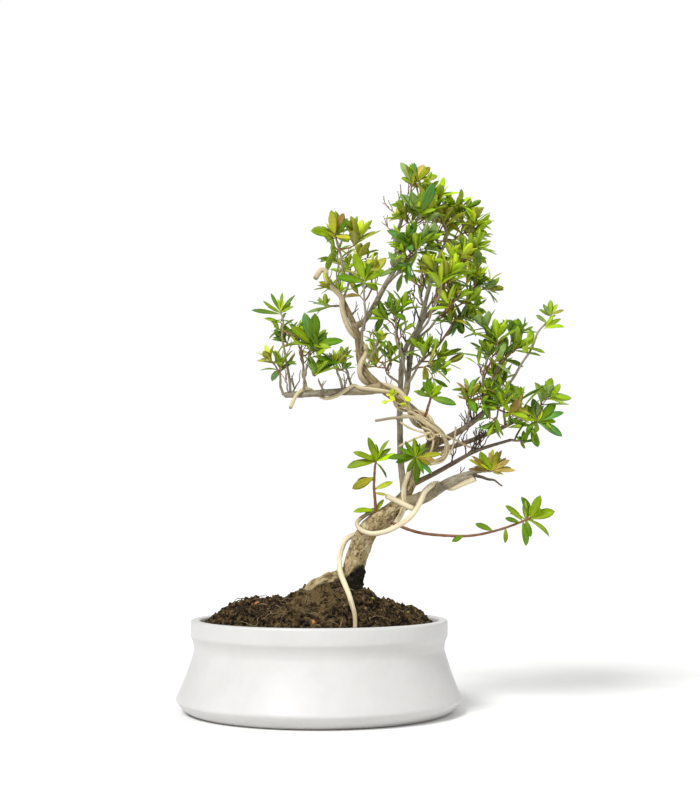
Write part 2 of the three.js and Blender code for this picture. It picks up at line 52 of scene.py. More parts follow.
Point = tuple[float, float, float]
Path = list[Array | Point]
Masks = dict[str, Array]
Values = dict[str, object]
Colour = tuple[int, int, int]
Rng = np.random.Generator
Material = bpy.types.Material
Tree = bpy.types.NodeTree
Node = bpy.types.Node
Socket = bpy.types.NodeSocket
Sockets = bpy.types.bpy_prop_collection

METRES = 0.001
FULL_TURN = 2 * math.pi
GOLDEN_ANGLE = 2.39996


class Slot(Enum):
    """Material slots."""

    POT = "pot"
    SOIL = "soil"
    BARK = "bark"
    BRANCH = "branch"
    WIRE = "wire"
    LEAF = "leaf"


class Tint(Enum):
    """Base colours that are dealt out to the leaves of a spray."""

    DEEP = (76, 120, 6)
    MID = (128, 162, 6)
    FRESH = (158, 196, 4)
    YOUNG = (192, 212, 30)
    OLIVE = (156, 156, 32)
    BRONZE = (150, 116, 58)
    # Ashen and bluish: leaf greens that also hold painted sky reflection, the sheen of glossy leaves.
    ASHEN = (126, 158, 84)
    BLUISH = (84, 140, 62)
    WITHERED = (206, 178, 98)
    GOLD = (208, 206, 44)


DEEP, MID, FRESH, YOUNG, OLIVE, BRONZE, ASHEN, BLUISH, WITHERED, GOLD = Tint


class Tone(Enum):
    """How often a spray of a mass takes each tint."""

    SUNLIT = ((OLIVE, 0.4), (YOUNG, 0.08), (MID, 0.32), (FRESH, 0.1), (BRONZE, 0.1))
    MIXED = ((MID, 0.36), (FRESH, 0.18), (DEEP, 0.26), (OLIVE, 0.14), (BLUISH, 0.06))
    SHADE = ((DEEP, 0.4), (MID, 0.3), (BLUISH, 0.12), (ASHEN, 0.08), (OLIVE, 0.1))
    GREYISH = ((MID, 0.26), (ASHEN, 0.16), (DEEP, 0.4), (FRESH, 0.1), (BRONZE, 0.08))
    VIVID = ((FRESH, 0.6), (MID, 0.4))
    DRY = ((WITHERED, 0.5), (BRONZE, 0.25), (OLIVE, 0.25))


SUNLIT, MIXED, SHADE, GREYISH, VIVID, DRY = Tone


def linear(colour: Colour | Array) -> tuple[float, float, float, float]:
    """Turns a display colour of 0 to 255 into the linear colour that a shader takes.

    Args:
        colour: Red, green and blue as shown on a display.

    Returns:
        Linear red, green and blue, with full alpha.
    """
    shown = np.array(colour) / 255
    value = np.where(shown <= 0.04045, shown / 12.92, ((shown + 0.055) / 1.055) ** 2.4)
    return (float(value[0]), float(value[1]), float(value[2]), 1.0)


def unit(vectors: Array) -> Array:
    """Scales vectors along the last axis to length one."""
    return vectors / np.maximum(np.linalg.norm(vectors, axis=-1, keepdims=True), 1e-12)


def mix(first: Number, last: Number, share: Number) -> Number:
    """Goes from first to last by a share of 0 to 1."""
    return first + (last - first) * share


def smoothstep(value: Number, low: float, high: float) -> Number:
    """Rises from 0 at low to 1 at high with level ends: three squares less two cubes of the share."""
    share = np.clip((value - low) / (high - low), 0, 1)
    return share * share * (3 - 2 * share)


def ring_angles(columns: int) -> Array:
    """Angles that part a full turn evenly."""
    return np.arange(columns) / columns * FULL_TURN


def polar(radius: Number, angle: Array, height: Number) -> Array:
    """Points by radius and angle about the upright axis, and by height."""
    places = np.broadcast_arrays(radius * np.cos(angle), radius * np.sin(angle), height)
    return np.stack(places, axis=-1)


def lattice(cells: Array, seed: int) -> Array:
    """Deals each whole-number cell a number from 0 to 1 by scrambling its three counts with the seed.

    Args:
        cells: Whole numbers, three on the last axis.
        seed: Which of many deals.

    Returns:
        One number for each cell.
    """
    counts = cells.astype(np.int64).astype(np.uint64)
    primes = np.array([0x9E3779B97F4A7C15, 0xC2B2AE3D27D4EB4F, 0x165667B19E3779F9], np.uint64)
    mixed = (counts * primes).sum(axis=-1, dtype=np.uint64) + np.uint64(seed * 7919 + 13)
    mixed = (mixed ^ (mixed >> np.uint64(30))) * np.uint64(0xBF58476D1CE4E5B9)
    mixed = (mixed ^ (mixed >> np.uint64(27))) * np.uint64(0x94D049BB133111EB)
    return ((mixed ^ (mixed >> np.uint64(31))) >> np.uint64(11)).astype(float) / 2.0**53


def noise(places: Array, seed: int) -> Array:
    """Smooth noise from -1 to 1: the eight corners of each unit cell, mixed by an eased share of each axis.

    Args:
        places: Places in noise space, three numbers on the last axis.
        seed: Which of many patterns.

    Returns:
        One number for each place.
    """
    base = np.floor(places)
    part = places - base
    ease = part**3 * (part * (part * 6 - 15) + 10)
    total = np.zeros(places.shape[:-1])
    for corner in range(8):
        step = np.array([corner & 1, corner >> 1 & 1, corner >> 2 & 1])
        weight = np.prod(np.where(step == 1, ease, 1 - ease), axis=-1)
        total += weight * lattice(base + step, seed)
    return total * 2 - 1


def layered(places: Array, seed: int, layers: int = 4) -> Array:
    """Sums layers of noise, each twice as fine and half as strong as the last."""
    return sum(noise(places * 2.03**k, seed + k) * 0.5**k for k in range(layers))


@dataclass
class Surface:
    """A mesh in the making: points in millimetres, faces, and what is stored on each point."""

    points: Array
    quads: Array
    triangles: Array
    masks: Masks = field(default_factory=dict)
    grain: Array | None = None

    def made(self, name: str, material: Material, smooth: bool = True) -> bpy.types.Object:
        """Makes an object of the surface, in metres.

        Args:
            name: Its name.
            material: Its finish.
            smooth: Whether it is shaded as round.

        Returns:
            The object, linked to the scene.
        """
        mesh = bpy.data.meshes.new(name)
        faces = self.quads.tolist() + self.triangles.tolist()
        mesh.from_pydata((self.points * METRES).tolist(), [], faces)
        mesh.polygons.foreach_set("use_smooth", np.full(len(faces), smooth))
        for mask, values in self.masks.items():
            stored = mesh.attributes.new(mask, "FLOAT", "POINT")
            stored.data.foreach_set("value", values.astype(np.float32))
        if self.grain is not None:
            stored = mesh.attributes.new("grain", "FLOAT_VECTOR", "POINT")
            stored.data.foreach_set("vector", self.grain.astype(np.float32).ravel())
        mesh.materials.append(material)
        piece = bpy.data.objects.new(name, mesh)
        bpy.context.scene.collection.objects.link(piece)
        return piece

    def place(self, name: str, finish: Material, slot: Slot, nodes: list[str], smooth: bool = True) -> None:
        """Makes the surface a piece of the object, which rides on the plant's one body.

        Args:
            name: The piece's name.
            finish: Its material.
            slot: Its material slot; not used.
            nodes: The solids that the piece stands for.
            smooth: Whether it is shaded as round.
        """
        piece = self.made(name, finish, smooth)
        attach(piece, "root")
        if nodes:
            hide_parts(*nodes)
        LOG.info("%s: %d triangles", name, 2 * len(self.quads) + len(self.triangles))


def join(surfaces: list[Surface]) -> Surface:
    """Puts surfaces into one, with each one's face numbers moved past the points before it.

    Args:
        surfaces: Surfaces that store the same masks.

    Returns:
        All of them as one surface.
    """
    starts = np.cumsum([0] + [len(s.points) for s in surfaces])
    return Surface(
        np.concatenate([s.points for s in surfaces]),
        np.concatenate([s.quads + start for s, start in zip(surfaces, starts)]),
        np.concatenate([s.triangles + start for s, start in zip(surfaces, starts)]),
        {name: np.concatenate([s.masks[name] for s in surfaces]) for name in surfaces[0].masks},
        None if surfaces[0].grain is None else np.concatenate([s.grain for s in surfaces]),
    )


def skins(rings: Array, masks: Masks | None = None, grain: Array | None = None) -> Surface:
    """Closes one or many skins, each a stack of rings along its own path.

    Each quad joins a ring's point and its next to the same two of the ring above. A pole in the middle of
    the first and of the last ring closes the ends with triangles.

    Args:
        rings: Points by skin, ring and place on the ring, counted anticlockwise about the path.
        masks: Numbers to store, by skin, ring and place.
        grain: Places to store for patterns that follow the skin, by skin, ring and place.

    Returns:
        The closed surface.
    """
    count, rows, columns = rings.shape[:3]
    size = rows * columns

    def with_poles(values: Array) -> Array:
        """Adds the middle of the first and the last ring to each skin's values.

        Args:
            values: By skin, ring and place.

        Returns:
            Values by point.
        """
        ends = [values[:, 0].mean(axis=1), values[:, -1].mean(axis=1)]
        poles = np.stack(ends, axis=1).reshape(count, 2, -1)
        joined = np.concatenate([values.reshape(count, size, -1), poles], axis=1)
        return joined.reshape(count * (size + 2), -1)

    start = np.arange(count)[:, None] * (size + 2)
    ring = np.arange(columns)[None, :]
    following = (ring + 1) % columns
    row = (start + np.arange(rows - 1) * columns)[..., None]
    above = row + columns
    quads = np.stack([row + ring, row + following, above + following, above + ring], axis=-1)
    last = start + (rows - 1) * columns
    low = np.stack([start + size + 0 * ring, start + following, start + ring], axis=-1)
    high = np.stack([start + size + 1 + 0 * ring, last + ring, last + following], axis=-1)
    return Surface(
        with_poles(rings),
        quads.reshape(-1, 4),
        np.concatenate([low.reshape(-1, 3), high.reshape(-1, 3)]),
        {name: with_poles(values[..., None])[:, 0] for name, values in (masks or {}).items()},
        None if grain is None else with_poles(grain),
    )


def one_skin(rings: Array, masks: Masks, grain: Array | None = None) -> Surface:
    """Closes a single skin, with its values by ring and place."""
    stored = {name: values[None] for name, values in masks.items()}
    return skins(rings[None], stored, None if grain is None else grain[None])


def distance_along(line: Array) -> Array:
    """The distance run along a row of points."""
    return np.concatenate([[0], np.cumsum(np.linalg.norm(np.diff(line, axis=0), axis=1))])


@dataclass(frozen=True)
class Spline:
    """A smooth line through points. Each stretch is a cubic that keeps the slope of its neighbours.

    An evenness of 0 counts every stretch alike, and 0.5 counts it by the root of its length.
    """

    points: tuple[Point, ...]
    evenness: float = 0.0

    def at(self, share: Number) -> Array:
        """Gives points on the line.

        Args:
            share: How far along, from 0 to 1, by count of stretches.

        Returns:
            Points, three numbers on the last axis.
        """
        known = np.array(self.points, float)
        known = np.vstack([2 * known[0] - known[1], known, 2 * known[-1] - known[-2]])
        stretches = len(self.points) - 1
        along = np.clip(np.asarray(share, float), 0, 1) * stretches
        index = np.minimum(along.astype(int), stretches - 1)
        part = (along - index)[..., None]
        before, start, end, after = (known[index + k] for k in range(4))
        gaps = [
            np.maximum(np.linalg.norm(b - a, axis=-1, keepdims=True), 1e-4) ** self.evenness
            for a, b in ((before, start), (start, end), (end, after))
        ]
        leave = (start - before) / gaps[0] - (end - before) / (gaps[0] + gaps[1]) + (end - start) / gaps[1]
        arrive = (end - start) / gaps[1] - (after - start) / (gaps[1] + gaps[2]) + (after - end) / gaps[2]
        leave = leave * gaps[1]
        arrive = arrive * gaps[1]
        cubic = 2 * start - 2 * end + leave + arrive
        square = -3 * start + 3 * end - 2 * leave - arrive
        return start + part * (leave + part * (square + part * cubic))

    def direction(self, share: Number) -> Array:
        """The line's direction, from points a little before and after."""
        middle = np.clip(np.asarray(share, float), 1e-4, 1 - 1e-4)
        return unit(self.at(middle + 1e-4) - self.at(middle - 1e-4))

    def even(self, step: float) -> Array:
        """Shares along the line that lie about one step apart.

        Args:
            step: The distance between places, in millimetres.

        Returns:
            Shares from 0 to 1.
        """
        fine = np.linspace(0, 1, 2000)
        run = distance_along(self.at(fine))
        return np.interp(np.linspace(0, run[-1], max(4, int(run[-1] / step))), run, fine)


def across(directions: Array, toward: Array) -> tuple[Array, Array]:
    """Two directions square to a path: one as near as can be to a given way, and one a quarter turn on."""
    front = unit(toward - (directions * toward).sum(axis=-1, keepdims=True) * directions)
    return front, np.cross(directions, front)


def spoke(direction: Array, toward: Array, turn: float) -> Array:
    """The way out from a path at an angle round it, counted from the way that it leans to."""
    front, side = across(direction, toward)
    return front * math.cos(turn) + side * math.sin(turn)


FRONT = np.array([0.0, -1.0, 0.0])
BACKWARD = np.array([0.0, 0.8, 0.6])
UPWARD = np.array([0.0, 0.0, 1.0])


@dataclass(frozen=True)
class Limb:
    """A tapering limb along a spline, from its first radius to its last, with a flare at its foot."""

    points: tuple[Point, ...]
    radius: Pair
    span: Pair = (0.0, 1.0)
    thin: Pair | None = None
    flare: float = 0.0
    flare_run: float = 0.16

    @property
    def line(self) -> Spline:
        """The spline that the limb follows."""
        return Spline(self.points)

    def point(self, share: Number) -> Array:
        """A point on the limb's own length."""
        return self.line.at(mix(*self.span, np.asarray(share, float)))

    def direction(self, share: Number) -> Array:
        """The limb's direction at a share of its own length."""
        return self.line.direction(mix(*self.span, np.asarray(share, float)))

    def girth(self, share: Number, angle: Number) -> Array:
        """The limb's radius at a place along it and an angle round it.

        The taper runs evenly or eased between two shares, the flare dies away from the foot, and three low
        swells follow the flare.

        Args:
            share: How far along, from 0 to 1.
            angle: The angle round the limb, from its front.

        Returns:
            The radius in millimetres.
        """
        taper = share if self.thin is None else smoothstep(share, *self.thin)
        spread = self.flare * np.exp(-np.asarray(share) / self.flare_run)
        swell = self.flare * np.exp(-np.asarray(share) / (2 * self.flare_run))
        return (mix(*self.radius, taper) + spread) * (1 + 0.023 * swell * np.cos(3 * angle + 1.2))

    def beside(self, share: float, degrees: float, off: float) -> Array:
        """A point that stands off the limb's skin.

        Args:
            share: How far along, from 0 to 1.
            degrees: The angle round the limb, from its front.
            off: The distance from the skin.

        Returns:
            The point.
        """
        angle = math.radians(degrees)
        reach = self.girth(share, angle) + off
        return self.point(share) + reach * spoke(self.direction(share), FRONT, angle)


TRUNK_LINE = (
    (18, 0, 74), (22, 0, 89), (26, -1, 106), (34, -1, 123), (55, 2, 141), (65, 3, 158), (69, -1, 173),
    (79, -8, 183), (78, -14, 191), (65, -17, 204), (52, -18, 214), (39, -17, 224), (29, -14, 237),
    (26, -11, 259), (17, -8, 281), (10, -8, 294),
)
BEND = 7.35 / 15

LIMBS: dict[str, Limb] = {
    "trunk": Limb(TRUNK_LINE, (6.9, 3.7), (0, BEND), (0.42, 0.64), 4.5, 0.1),
    "leader": Limb(TRUNK_LINE, (3.7, 1.8), (BEND, 1)),
    "left_bough": Limb(
        ((41.7, -17, 221), (30, -18, 218.5), (16, -18, 218), (-7, -16, 216.6), (-25, -13, 216.2)), (3.4, 2)
    ),
    "right_bough": Limb(((57, 0, 141), (75, -5, 147), (90, -10, 156), (108, -14, 162.5)), (4.6, 2.7)),
    "upright_rear": Limb(
        (
            (59.5, 3, 149), (57.5, 15, 167), (56.7, 17, 194), (57, 18, 219), (60, 18, 250), (71, 18, 271),
            (82, 17, 311), (91, 15, 332),
        ),
        (2.5, 1.3),
    ),
    "upright_mid": Limb(
        ((55, -18, 212), (60, -9, 219), (62, -4, 232), (66, 0, 255), (76, 3, 275), (96, 4, 287)), (2.3, 1.3)
    ),
    "upright_left": Limb(
        ((24, -10.5, 264), (33, -4, 272), (46, 2, 296), (56.5, 6, 317), (55.5, 8, 335), (60.6, 8, 351)),
        (2.2, 1.2),
    ),
    "right_low_branch": Limb(
        ((65, 3, 155), (85, 9, 165), (100, 6, 173.5), (113, 4, 179.7), (134, 2, 186)), (1.9, 1.1)
    ),
    "right_high_branch": Limb(
        ((75.5, -5.5, 180), (98, -14, 191.8), (113, -14, 203.6), (125, -12, 215.6)), (2.5, 1.4)
    ),
    "right_outer_branch": Limb(
        ((74, -4, 178), (95, 5, 182), (122, 10, 192.2), (139, 12, 200.2)), (2.1, 1.2)
    ),
}
SURFACE_ROOT = Limb(((20, -2, 93), (8, -5, 90), (-2, -8, 86), (-14, -10, 75.5)), (4.5, 2.9))


class Nodes:
    """Adds and wires shader nodes in one tree."""

    def __init__(self, tree: Tree) -> None:
        """Keeps the tree and clears what it starts with."""
        self.tree = tree
        tree.nodes.clear()

    def add(self, kind: str, settings: Values | None = None, **inputs: object) -> Node:
        """Adds a node, sets its options, and sets or links its inputs.

        Args:
            kind: The node's type name.
            settings: Options by property name.
            **inputs: A value or an output for each input, with _ for a space in its name.

        Returns:
            The node.
        """
        node = self.tree.nodes.new(kind)
        for name, value in (settings or {}).items():
            setattr(node, name, value)
        for name, value in inputs.items():
            self.feed(node.inputs[name.replace("_", " ")], value)
        return node

    def feed(self, socket: Socket, value: object) -> None:
        """Feeds an input.

        Args:
            socket: The input.
            value: An output to link, or a plain value to set.
        """
        if isinstance(value, Socket):
            self.tree.links.new(value, socket)
        else:
            socket.default_value = value

    def math(self, operation: str, first: object, second: object, third: object = 0.0) -> Socket:
        """Adds a math node.

        Args:
            operation: What it does.
            first: A value or an output.
            second: Another.
            third: Another, for operations on three.

        Returns:
            Its result.
        """
        node = self.add("ShaderNodeMath", {"operation": operation})
        for socket, value in zip(node.inputs, (first, second, third)):
            self.feed(socket, value)
        return node.outputs[0]

    def blend(self, share: object, first: object, second: object) -> Socket:
        """Adds a mix of two colours.

        Args:
            share: How much of the second, as a value or an output.
            first: A colour or an output.
            second: Another.

        Returns:
            Its result.
        """
        node = self.add("ShaderNodeMix", {"data_type": "RGBA"})
        for index, value in ((0, share), (6, first), (7, second)):
            self.feed(node.inputs[index], value)
        return node.outputs[2]

    def stored(self, mask: str) -> Socket:
        """Gives a mask that is stored on the mesh."""
        return self.add("ShaderNodeAttribute", {"attribute_name": mask}).outputs["Fac"]

    def group(self, tree: Tree, sockets: Values) -> Sockets:
        """Adds a shared group.

        Args:
            tree: The group.
            sockets: A value or an output for each input.

        Returns:
            Its outputs.
        """
        node = self.add("ShaderNodeGroup", {"node_tree": tree})
        for name, value in sockets.items():
            self.feed(node.inputs[name], value)
        return node.outputs

    def shade(self, colour: Socket, height: Socket, rough: Pair, relief: float, specular: float) -> Node:
        """Adds the material's shader, with roughness and bumps that follow a height.

        Args:
            colour: The base colour.
            height: Heights about one half.
            rough: Roughness of hollows and heights.
            relief: Height of the bumps in millimetres.
            specular: How strongly it mirrors.

        Returns:
            The shader.
        """
        uneven = self.add("ShaderNodeMapRange", Value=height, From_Min=0.3, From_Max=0.7)
        self.feed(uneven.inputs["To Min"], rough[0])
        self.feed(uneven.inputs["To Max"], rough[1])
        bump = self.add("ShaderNodeBump", Height=height, Distance=relief * METRES)
        shader = self.add("ShaderNodeBsdfPrincipled", Base_Color=colour, Normal=bump.outputs[0])
        self.feed(shader.inputs["Roughness"], uneven.outputs[0])
        shader.inputs["Specular IOR Level"].default_value = specular
        self.add("ShaderNodeOutputMaterial", Surface=shader.outputs[0])
        return shader


GREY = (0.5, 0.5, 0.5, 1.0)
SOCKET_KINDS = {type(None): "NodeSocketVector", tuple: "NodeSocketColor", float: "NodeSocketFloat"}


def new_group(name: str, inputs: Values, outputs: Values) -> tuple[Nodes, Sockets, Sockets]:
    """Starts a shader node group with named sockets, whose defaults tell their kinds.

    Args:
        name: The group's name.
        inputs: Each input's name and default.
        outputs: Each output's name and a value of its kind.

    Returns:
        The group's nodes, what it is given, and what it hands on.
    """
    tree = bpy.data.node_groups.new(name, "ShaderNodeTree")
    for label, default in inputs.items():
        socket = tree.interface.new_socket(label, in_out="INPUT", socket_type=SOCKET_KINDS[type(default)])
        if default is not None:
            socket.default_value = default
    for label, value in outputs.items():
        tree.interface.new_socket(label, in_out="OUTPUT", socket_type=SOCKET_KINDS[type(value)])
    nodes = Nodes(tree)
    return nodes, nodes.add("NodeGroupInput").outputs, nodes.add("NodeGroupOutput").inputs


class Effects:
    """The shared shader groups: mottle, stain and vein."""

    def __init__(self) -> None:
        """Builds each group once."""
        self.mottle = self.make_mottle()
        self.stain = self.make_stain()
        self.vein = self.make_vein()

    def make_mottle(self) -> Tree:
        """Two colours mixed by coarse and fine noise about a balance, with the noise as a height.

        Returns:
            The group.
        """
        inputs = {"Vector": None, "Light": GREY, "Dark": GREY, "Scale": 10.0, "Balance": 0.5}
        nodes, given, taken = new_group("mottle", inputs | {"Spread": 0.18}, {"Color": GREY, "Height": 0.0})
        both = {"Vector": given["Vector"], "Roughness": 0.6}
        finer = nodes.math("MULTIPLY", given["Scale"], 4.3)
        coarse = nodes.add("ShaderNodeTexNoise", Scale=given["Scale"], Detail=5.0, **both)
        fine = nodes.add("ShaderNodeTexNoise", Scale=finer, Detail=3.0, **both)
        bold = nodes.math("MULTIPLY", coarse.outputs[0], 0.66)
        height = nodes.math("ADD", bold, nodes.math("MULTIPLY", fine.outputs[0], 0.34))
        low = nodes.math("SUBTRACT", given["Balance"], given["Spread"])
        high = nodes.math("ADD", given["Balance"], given["Spread"])
        share = nodes.add("ShaderNodeMapRange", Value=height, From_Min=low, From_Max=high)
        nodes.feed(taken["Color"], nodes.blend(share.outputs[0], given["Dark"], given["Light"]))
        nodes.feed(taken["Height"], height)
        return nodes.tree

    def make_stain(self) -> Tree:
        """A colour laid over another by a mask, whose edge noise breaks up.

        Returns:
            The group.
        """
        inputs = {"Vector": None, "Scale": 10.0, "Color": GREY, "Stain": GREY, "Mask": 0.0, "Break": 0.5}
        nodes, given, taken = new_group("stain", inputs, {"Color": GREY, "Mask": 0.0})
        grit = nodes.add("ShaderNodeTexNoise", Vector=given["Vector"], Scale=given["Scale"], Detail=4.0)
        ragged = nodes.math("MULTIPLY", nodes.math("SUBTRACT", grit.outputs[0], 0.5), given["Break"])
        broken = nodes.math("MULTIPLY", ragged, nodes.math("MINIMUM", given["Mask"], 0.6))
        share = nodes.add("ShaderNodeClamp", Value=nodes.math("ADD", given["Mask"], broken))
        nodes.feed(taken["Color"], nodes.blend(share.outputs[0], given["Color"], given["Stain"]))
        nodes.feed(taken["Mask"], share.outputs[0])
        return nodes.tree

    def make_vein(self) -> Tree:
        """A leaf's colour: yellower at its foot, brown along some edges, pale on the midrib and below.

        Returns:
            The group.
        """
        colours = dict.fromkeys(("Color", "Rib", "Under", "Foot", "Edge"), GREY)
        masks = dict.fromkeys(("Rib Mask", "Under Mask", "Foot Mask", "Edge Mask", "Shade"), 0.0)
        nodes, given, taken = new_group("vein", colours | masks, {"Color": GREY})
        line = nodes.math("MULTIPLY", nodes.math("POWER", given["Rib Mask"], 7.0), 0.5)
        lightness = nodes.math("MULTIPLY_ADD", given["Shade"], 0.84, 0.66)
        shaded = nodes.add("ShaderNodeHueSaturation", Color=given["Color"], Value=lightness).outputs[0]
        footed = nodes.blend(nodes.math("MULTIPLY", given["Foot Mask"], 0.6), shaded, given["Foot"])
        edged = nodes.blend(nodes.math("MULTIPLY", given["Edge Mask"], 0.42), footed, given["Edge"])
        back = nodes.math("MULTIPLY", nodes.math("POWER", given["Under Mask"], 0.5), 0.5)
        under = nodes.blend(back, edged, given["Under"])
        nodes.feed(taken["Color"], nodes.blend(line, under, given["Rib"]))
        return nodes.tree


EFFECTS = Effects()


@dataclass(frozen=True)
class Stain:
    """A colour that a stored mask lays over a finish."""

    mask: str
    colour: Colour
    ragged: float = 0.6


@dataclass(frozen=True)
class Finish:
    """A mottled finish with its own roughness and relief, and stains where masks ask for them.

    Its pattern follows the stored grain where a scale along it is given, and the object's space otherwise.
    """

    name: str
    light: Colour
    dark: Colour
    size: float
    roughness: float
    relief: float = 0.1
    balance: float = 0.5
    spread: float = 0.18
    along: float | None = None
    stains: tuple[Stain, ...] = ()
    specular: float = 0.5
    coat: float = 0.0
    uneven: float = 0.15

    def material(self) -> Material:
        """Builds the finish's material.

        Returns:
            The material.
        """
        made = bpy.data.materials.new(self.name)
        made.use_nodes = True
        nodes = Nodes(made.node_tree)
        if self.along is None:
            source = nodes.add("ShaderNodeTexCoord").outputs["Object"]
            scale = 1 / (self.size * METRES)
        else:
            source = nodes.add("ShaderNodeAttribute", {"attribute_name": "grain"}).outputs["Vector"]
            scale = 1 / self.size
        stretch = (1.0, 1.0, self.along or 1.0)
        place = nodes.add("ShaderNodeMapping", Vector=source, Scale=stretch).outputs[0]
        sockets = {
            "Vector": place, "Scale": scale, "Light": linear(self.light), "Dark": linear(self.dark),
            "Balance": self.balance, "Spread": self.spread,
        }
        mottle = nodes.group(EFFECTS.mottle, sockets)
        colour = mottle["Color"]
        for stain in self.stains:
            sockets = {
                "Vector": place, "Scale": scale * 2, "Color": colour, "Stain": linear(stain.colour),
                "Mask": nodes.stored(stain.mask), "Break": stain.ragged,
            }
            colour = nodes.group(EFFECTS.stain, sockets)["Color"]
        rough = (max(0.05, self.roughness - self.uneven), min(1.0, self.roughness + self.uneven))
        shader = nodes.shade(colour, mottle["Height"], rough, self.relief, self.specular)
        shader.inputs["Coat Weight"].default_value = self.coat
        return made


@dataclass(frozen=True)
class LeafFinish:
    """A satin leaf of one tint, with faint clouding, a pale midrib, a yellower foot and a paler back."""

    tint: Tint
    cloud: float = 6.0
    cloud_spread: float = 0.16
    roughness: Pair = (0.35, 0.52)
    relief: float = 0.12
    specular: float = 0.12
    parts: tuple[tuple[str, Colour, float], ...] = (
        ("Rib", (226, 226, 120), 0.5), ("Under", (172, 186, 120), 0.5), ("Foot", (208, 204, 62), 0.5),
        ("Edge", (112, 80, 46), 0.6),
    )

    def material(self) -> Material:
        """Builds the leaf's material.

        Returns:
            The material.
        """
        made = bpy.data.materials.new(f"leaf_{self.tint.name.lower()}")
        made.use_nodes = True
        nodes = Nodes(made.node_tree)
        shown = np.array(self.tint.value)
        sockets = {
            "Vector": nodes.add("ShaderNodeTexCoord").outputs["Object"], "Scale": 1 / (self.cloud * METRES),
            "Light": linear(np.clip(shown * 1.08 + 6, 0, 255).astype(int)),
            "Dark": linear((shown * 0.86).astype(int)), "Spread": self.cloud_spread,
        }
        mottle = nodes.group(EFFECTS.mottle, sockets)
        sockets = {"Color": mottle["Color"], "Shade": nodes.stored("shade")}
        for part, paint, share in self.parts:
            sockets[part] = linear(mix(shown, np.array(paint), share))
            sockets[f"{part} Mask"] = nodes.stored(part.lower())
        colour = nodes.group(EFFECTS.vein, sockets)["Color"]
        nodes.shade(colour, mottle["Height"], self.roughness, self.relief, self.specular)
        return made


# The glaze's groove stain is painted shade: a faint grey band in the groove below the rim band.
GLAZE = Finish(
    "satin_white_glaze", (208, 207, 205), (200, 199, 197), 26, 0.46, 0.12, spread=0.2, coat=0.1,
    uneven=0.06, stains=(Stain("groove_shade", (176, 174, 170), 0.5), Stain("foot", (180, 176, 168), 1.2)),
)
# The soil's hollow stain is painted shade, near black where the ground's relief sinks.
EARTH = Finish(
    "damp_soil", (104, 85, 58), (7, 6, 5), 3.6, 0.88, 0.9, balance=0.54, spread=0.09, specular=0.04,
    stains=(Stain("dry", (104, 87, 57), 1.2), Stain("hollow_shade", (14, 11, 9), 0.9)),
)
DARK_CRUMB = Finish("dark_crumb", (70, 57, 41), (9, 8, 6), 2, 0.88, 0.4, specular=0.04)
TAN_CRUMB = Finish("tan_crumb", (158, 132, 90), (86, 68, 44), 2, 0.85, 0.4, specular=0.1)
CHIP = Finish("bark_chip", (206, 142, 84), (150, 92, 48), 2.5, 0.75, 0.3)
MOSS = Finish("moss_bit", (168, 172, 58), (104, 112, 34), 1.5, 0.85, 0.3, specular=0.2)
FIBRE = Finish("root_fibre", (150, 130, 92), (84, 68, 46), 3, 0.8, 0.1)
OLD_BARK = Finish(
    "old_tan_bark", (198, 178, 132), (108, 90, 60), 2.4, 0.82, 0.5, spread=0.12, along=0.7, specular=0.12,
    stains=(
        # The crack stain also carries the painted shade at the bend, among the ties.
        Stain("crack", (68, 55, 36), 1.1), Stain("pale", (206, 194, 160), 1.2),
        # The wet stain is wetness and painted shade at the trunk's foot.
        Stain("spot", (88, 74, 53), 1.0), Stain("wet_and_shade", (27, 24, 19), 0.8),
    ),
)
YOUNG_BARK = Finish(
    "grey_brown_bark", (178, 169, 147), (116, 108, 90), 1.8, 0.8, 0.25, spread=0.15, along=0.45,
    specular=0.25, stains=(Stain("crack", (74, 65, 51), 0.9), Stain("old", (160, 142, 104), 0.8)),
)
DARK_BARK = Finish(
    "dark_bark", (146, 130, 112), (84, 72, 60), 1.8, 0.8, 0.25, spread=0.15, along=0.45, specular=0.15,
    stains=(Stain("crack", (58, 50, 40), 0.9), Stain("old", (130, 112, 86), 0.8)),
)
WRAP = Finish(
    "cream_wire", (240, 228, 196), (214, 199, 163), 0.9, 0.5, 0.06, spread=0.2, along=0.05, specular=0.4,
    stains=(Stain("worn", (146, 128, 94), 0.9),),
)
AGED_WRAP = Finish(
    "aged_wire", (224, 209, 172), (178, 161, 122), 0.9, 0.55, 0.06, spread=0.2, along=0.05, specular=0.35,
    stains=(Stain("worn", (116, 100, 72), 0.9),),
)
RAFFIA = Finish(
    "straw_raffia", (226, 210, 168), (172, 153, 112), 0.6, 0.7, 0.08, along=0.08,
    stains=(Stain("worn", (128, 108, 74), 0.9),),
)
GREY_TWIG = Finish("grey_twig", (176, 164, 144), (112, 100, 83), 1.6, 0.82, along=0.4, specular=0.25)
DARK_TWIG = Finish("dark_spur", (108, 94, 80), (56, 48, 40), 1.4, 0.85, along=0.5, specular=0.2)
BROWN_TWIG = Finish("brown_twig", (168, 122, 78), (112, 76, 48), 1.6, 0.75, along=0.4, specular=0.3)
RED_SHOOT = Finish("reddish_shoot", (150, 98, 62), (98, 60, 38), 1.8, 0.6, 0.08, along=0.3)
FLOOR = Finish("pale_floor", (244, 244, 243), (238, 238, 237), 60, 0.85, 0.05, specular=0.2)


def grained(grain: Array, wide: float, tall: float, seed: int, layers: int = 1) -> Array:
    """Layered noise on a limb's skin, with its own width across the grain and height along it."""
    return layered(grain / np.array([wide, wide, tall]), seed, layers)


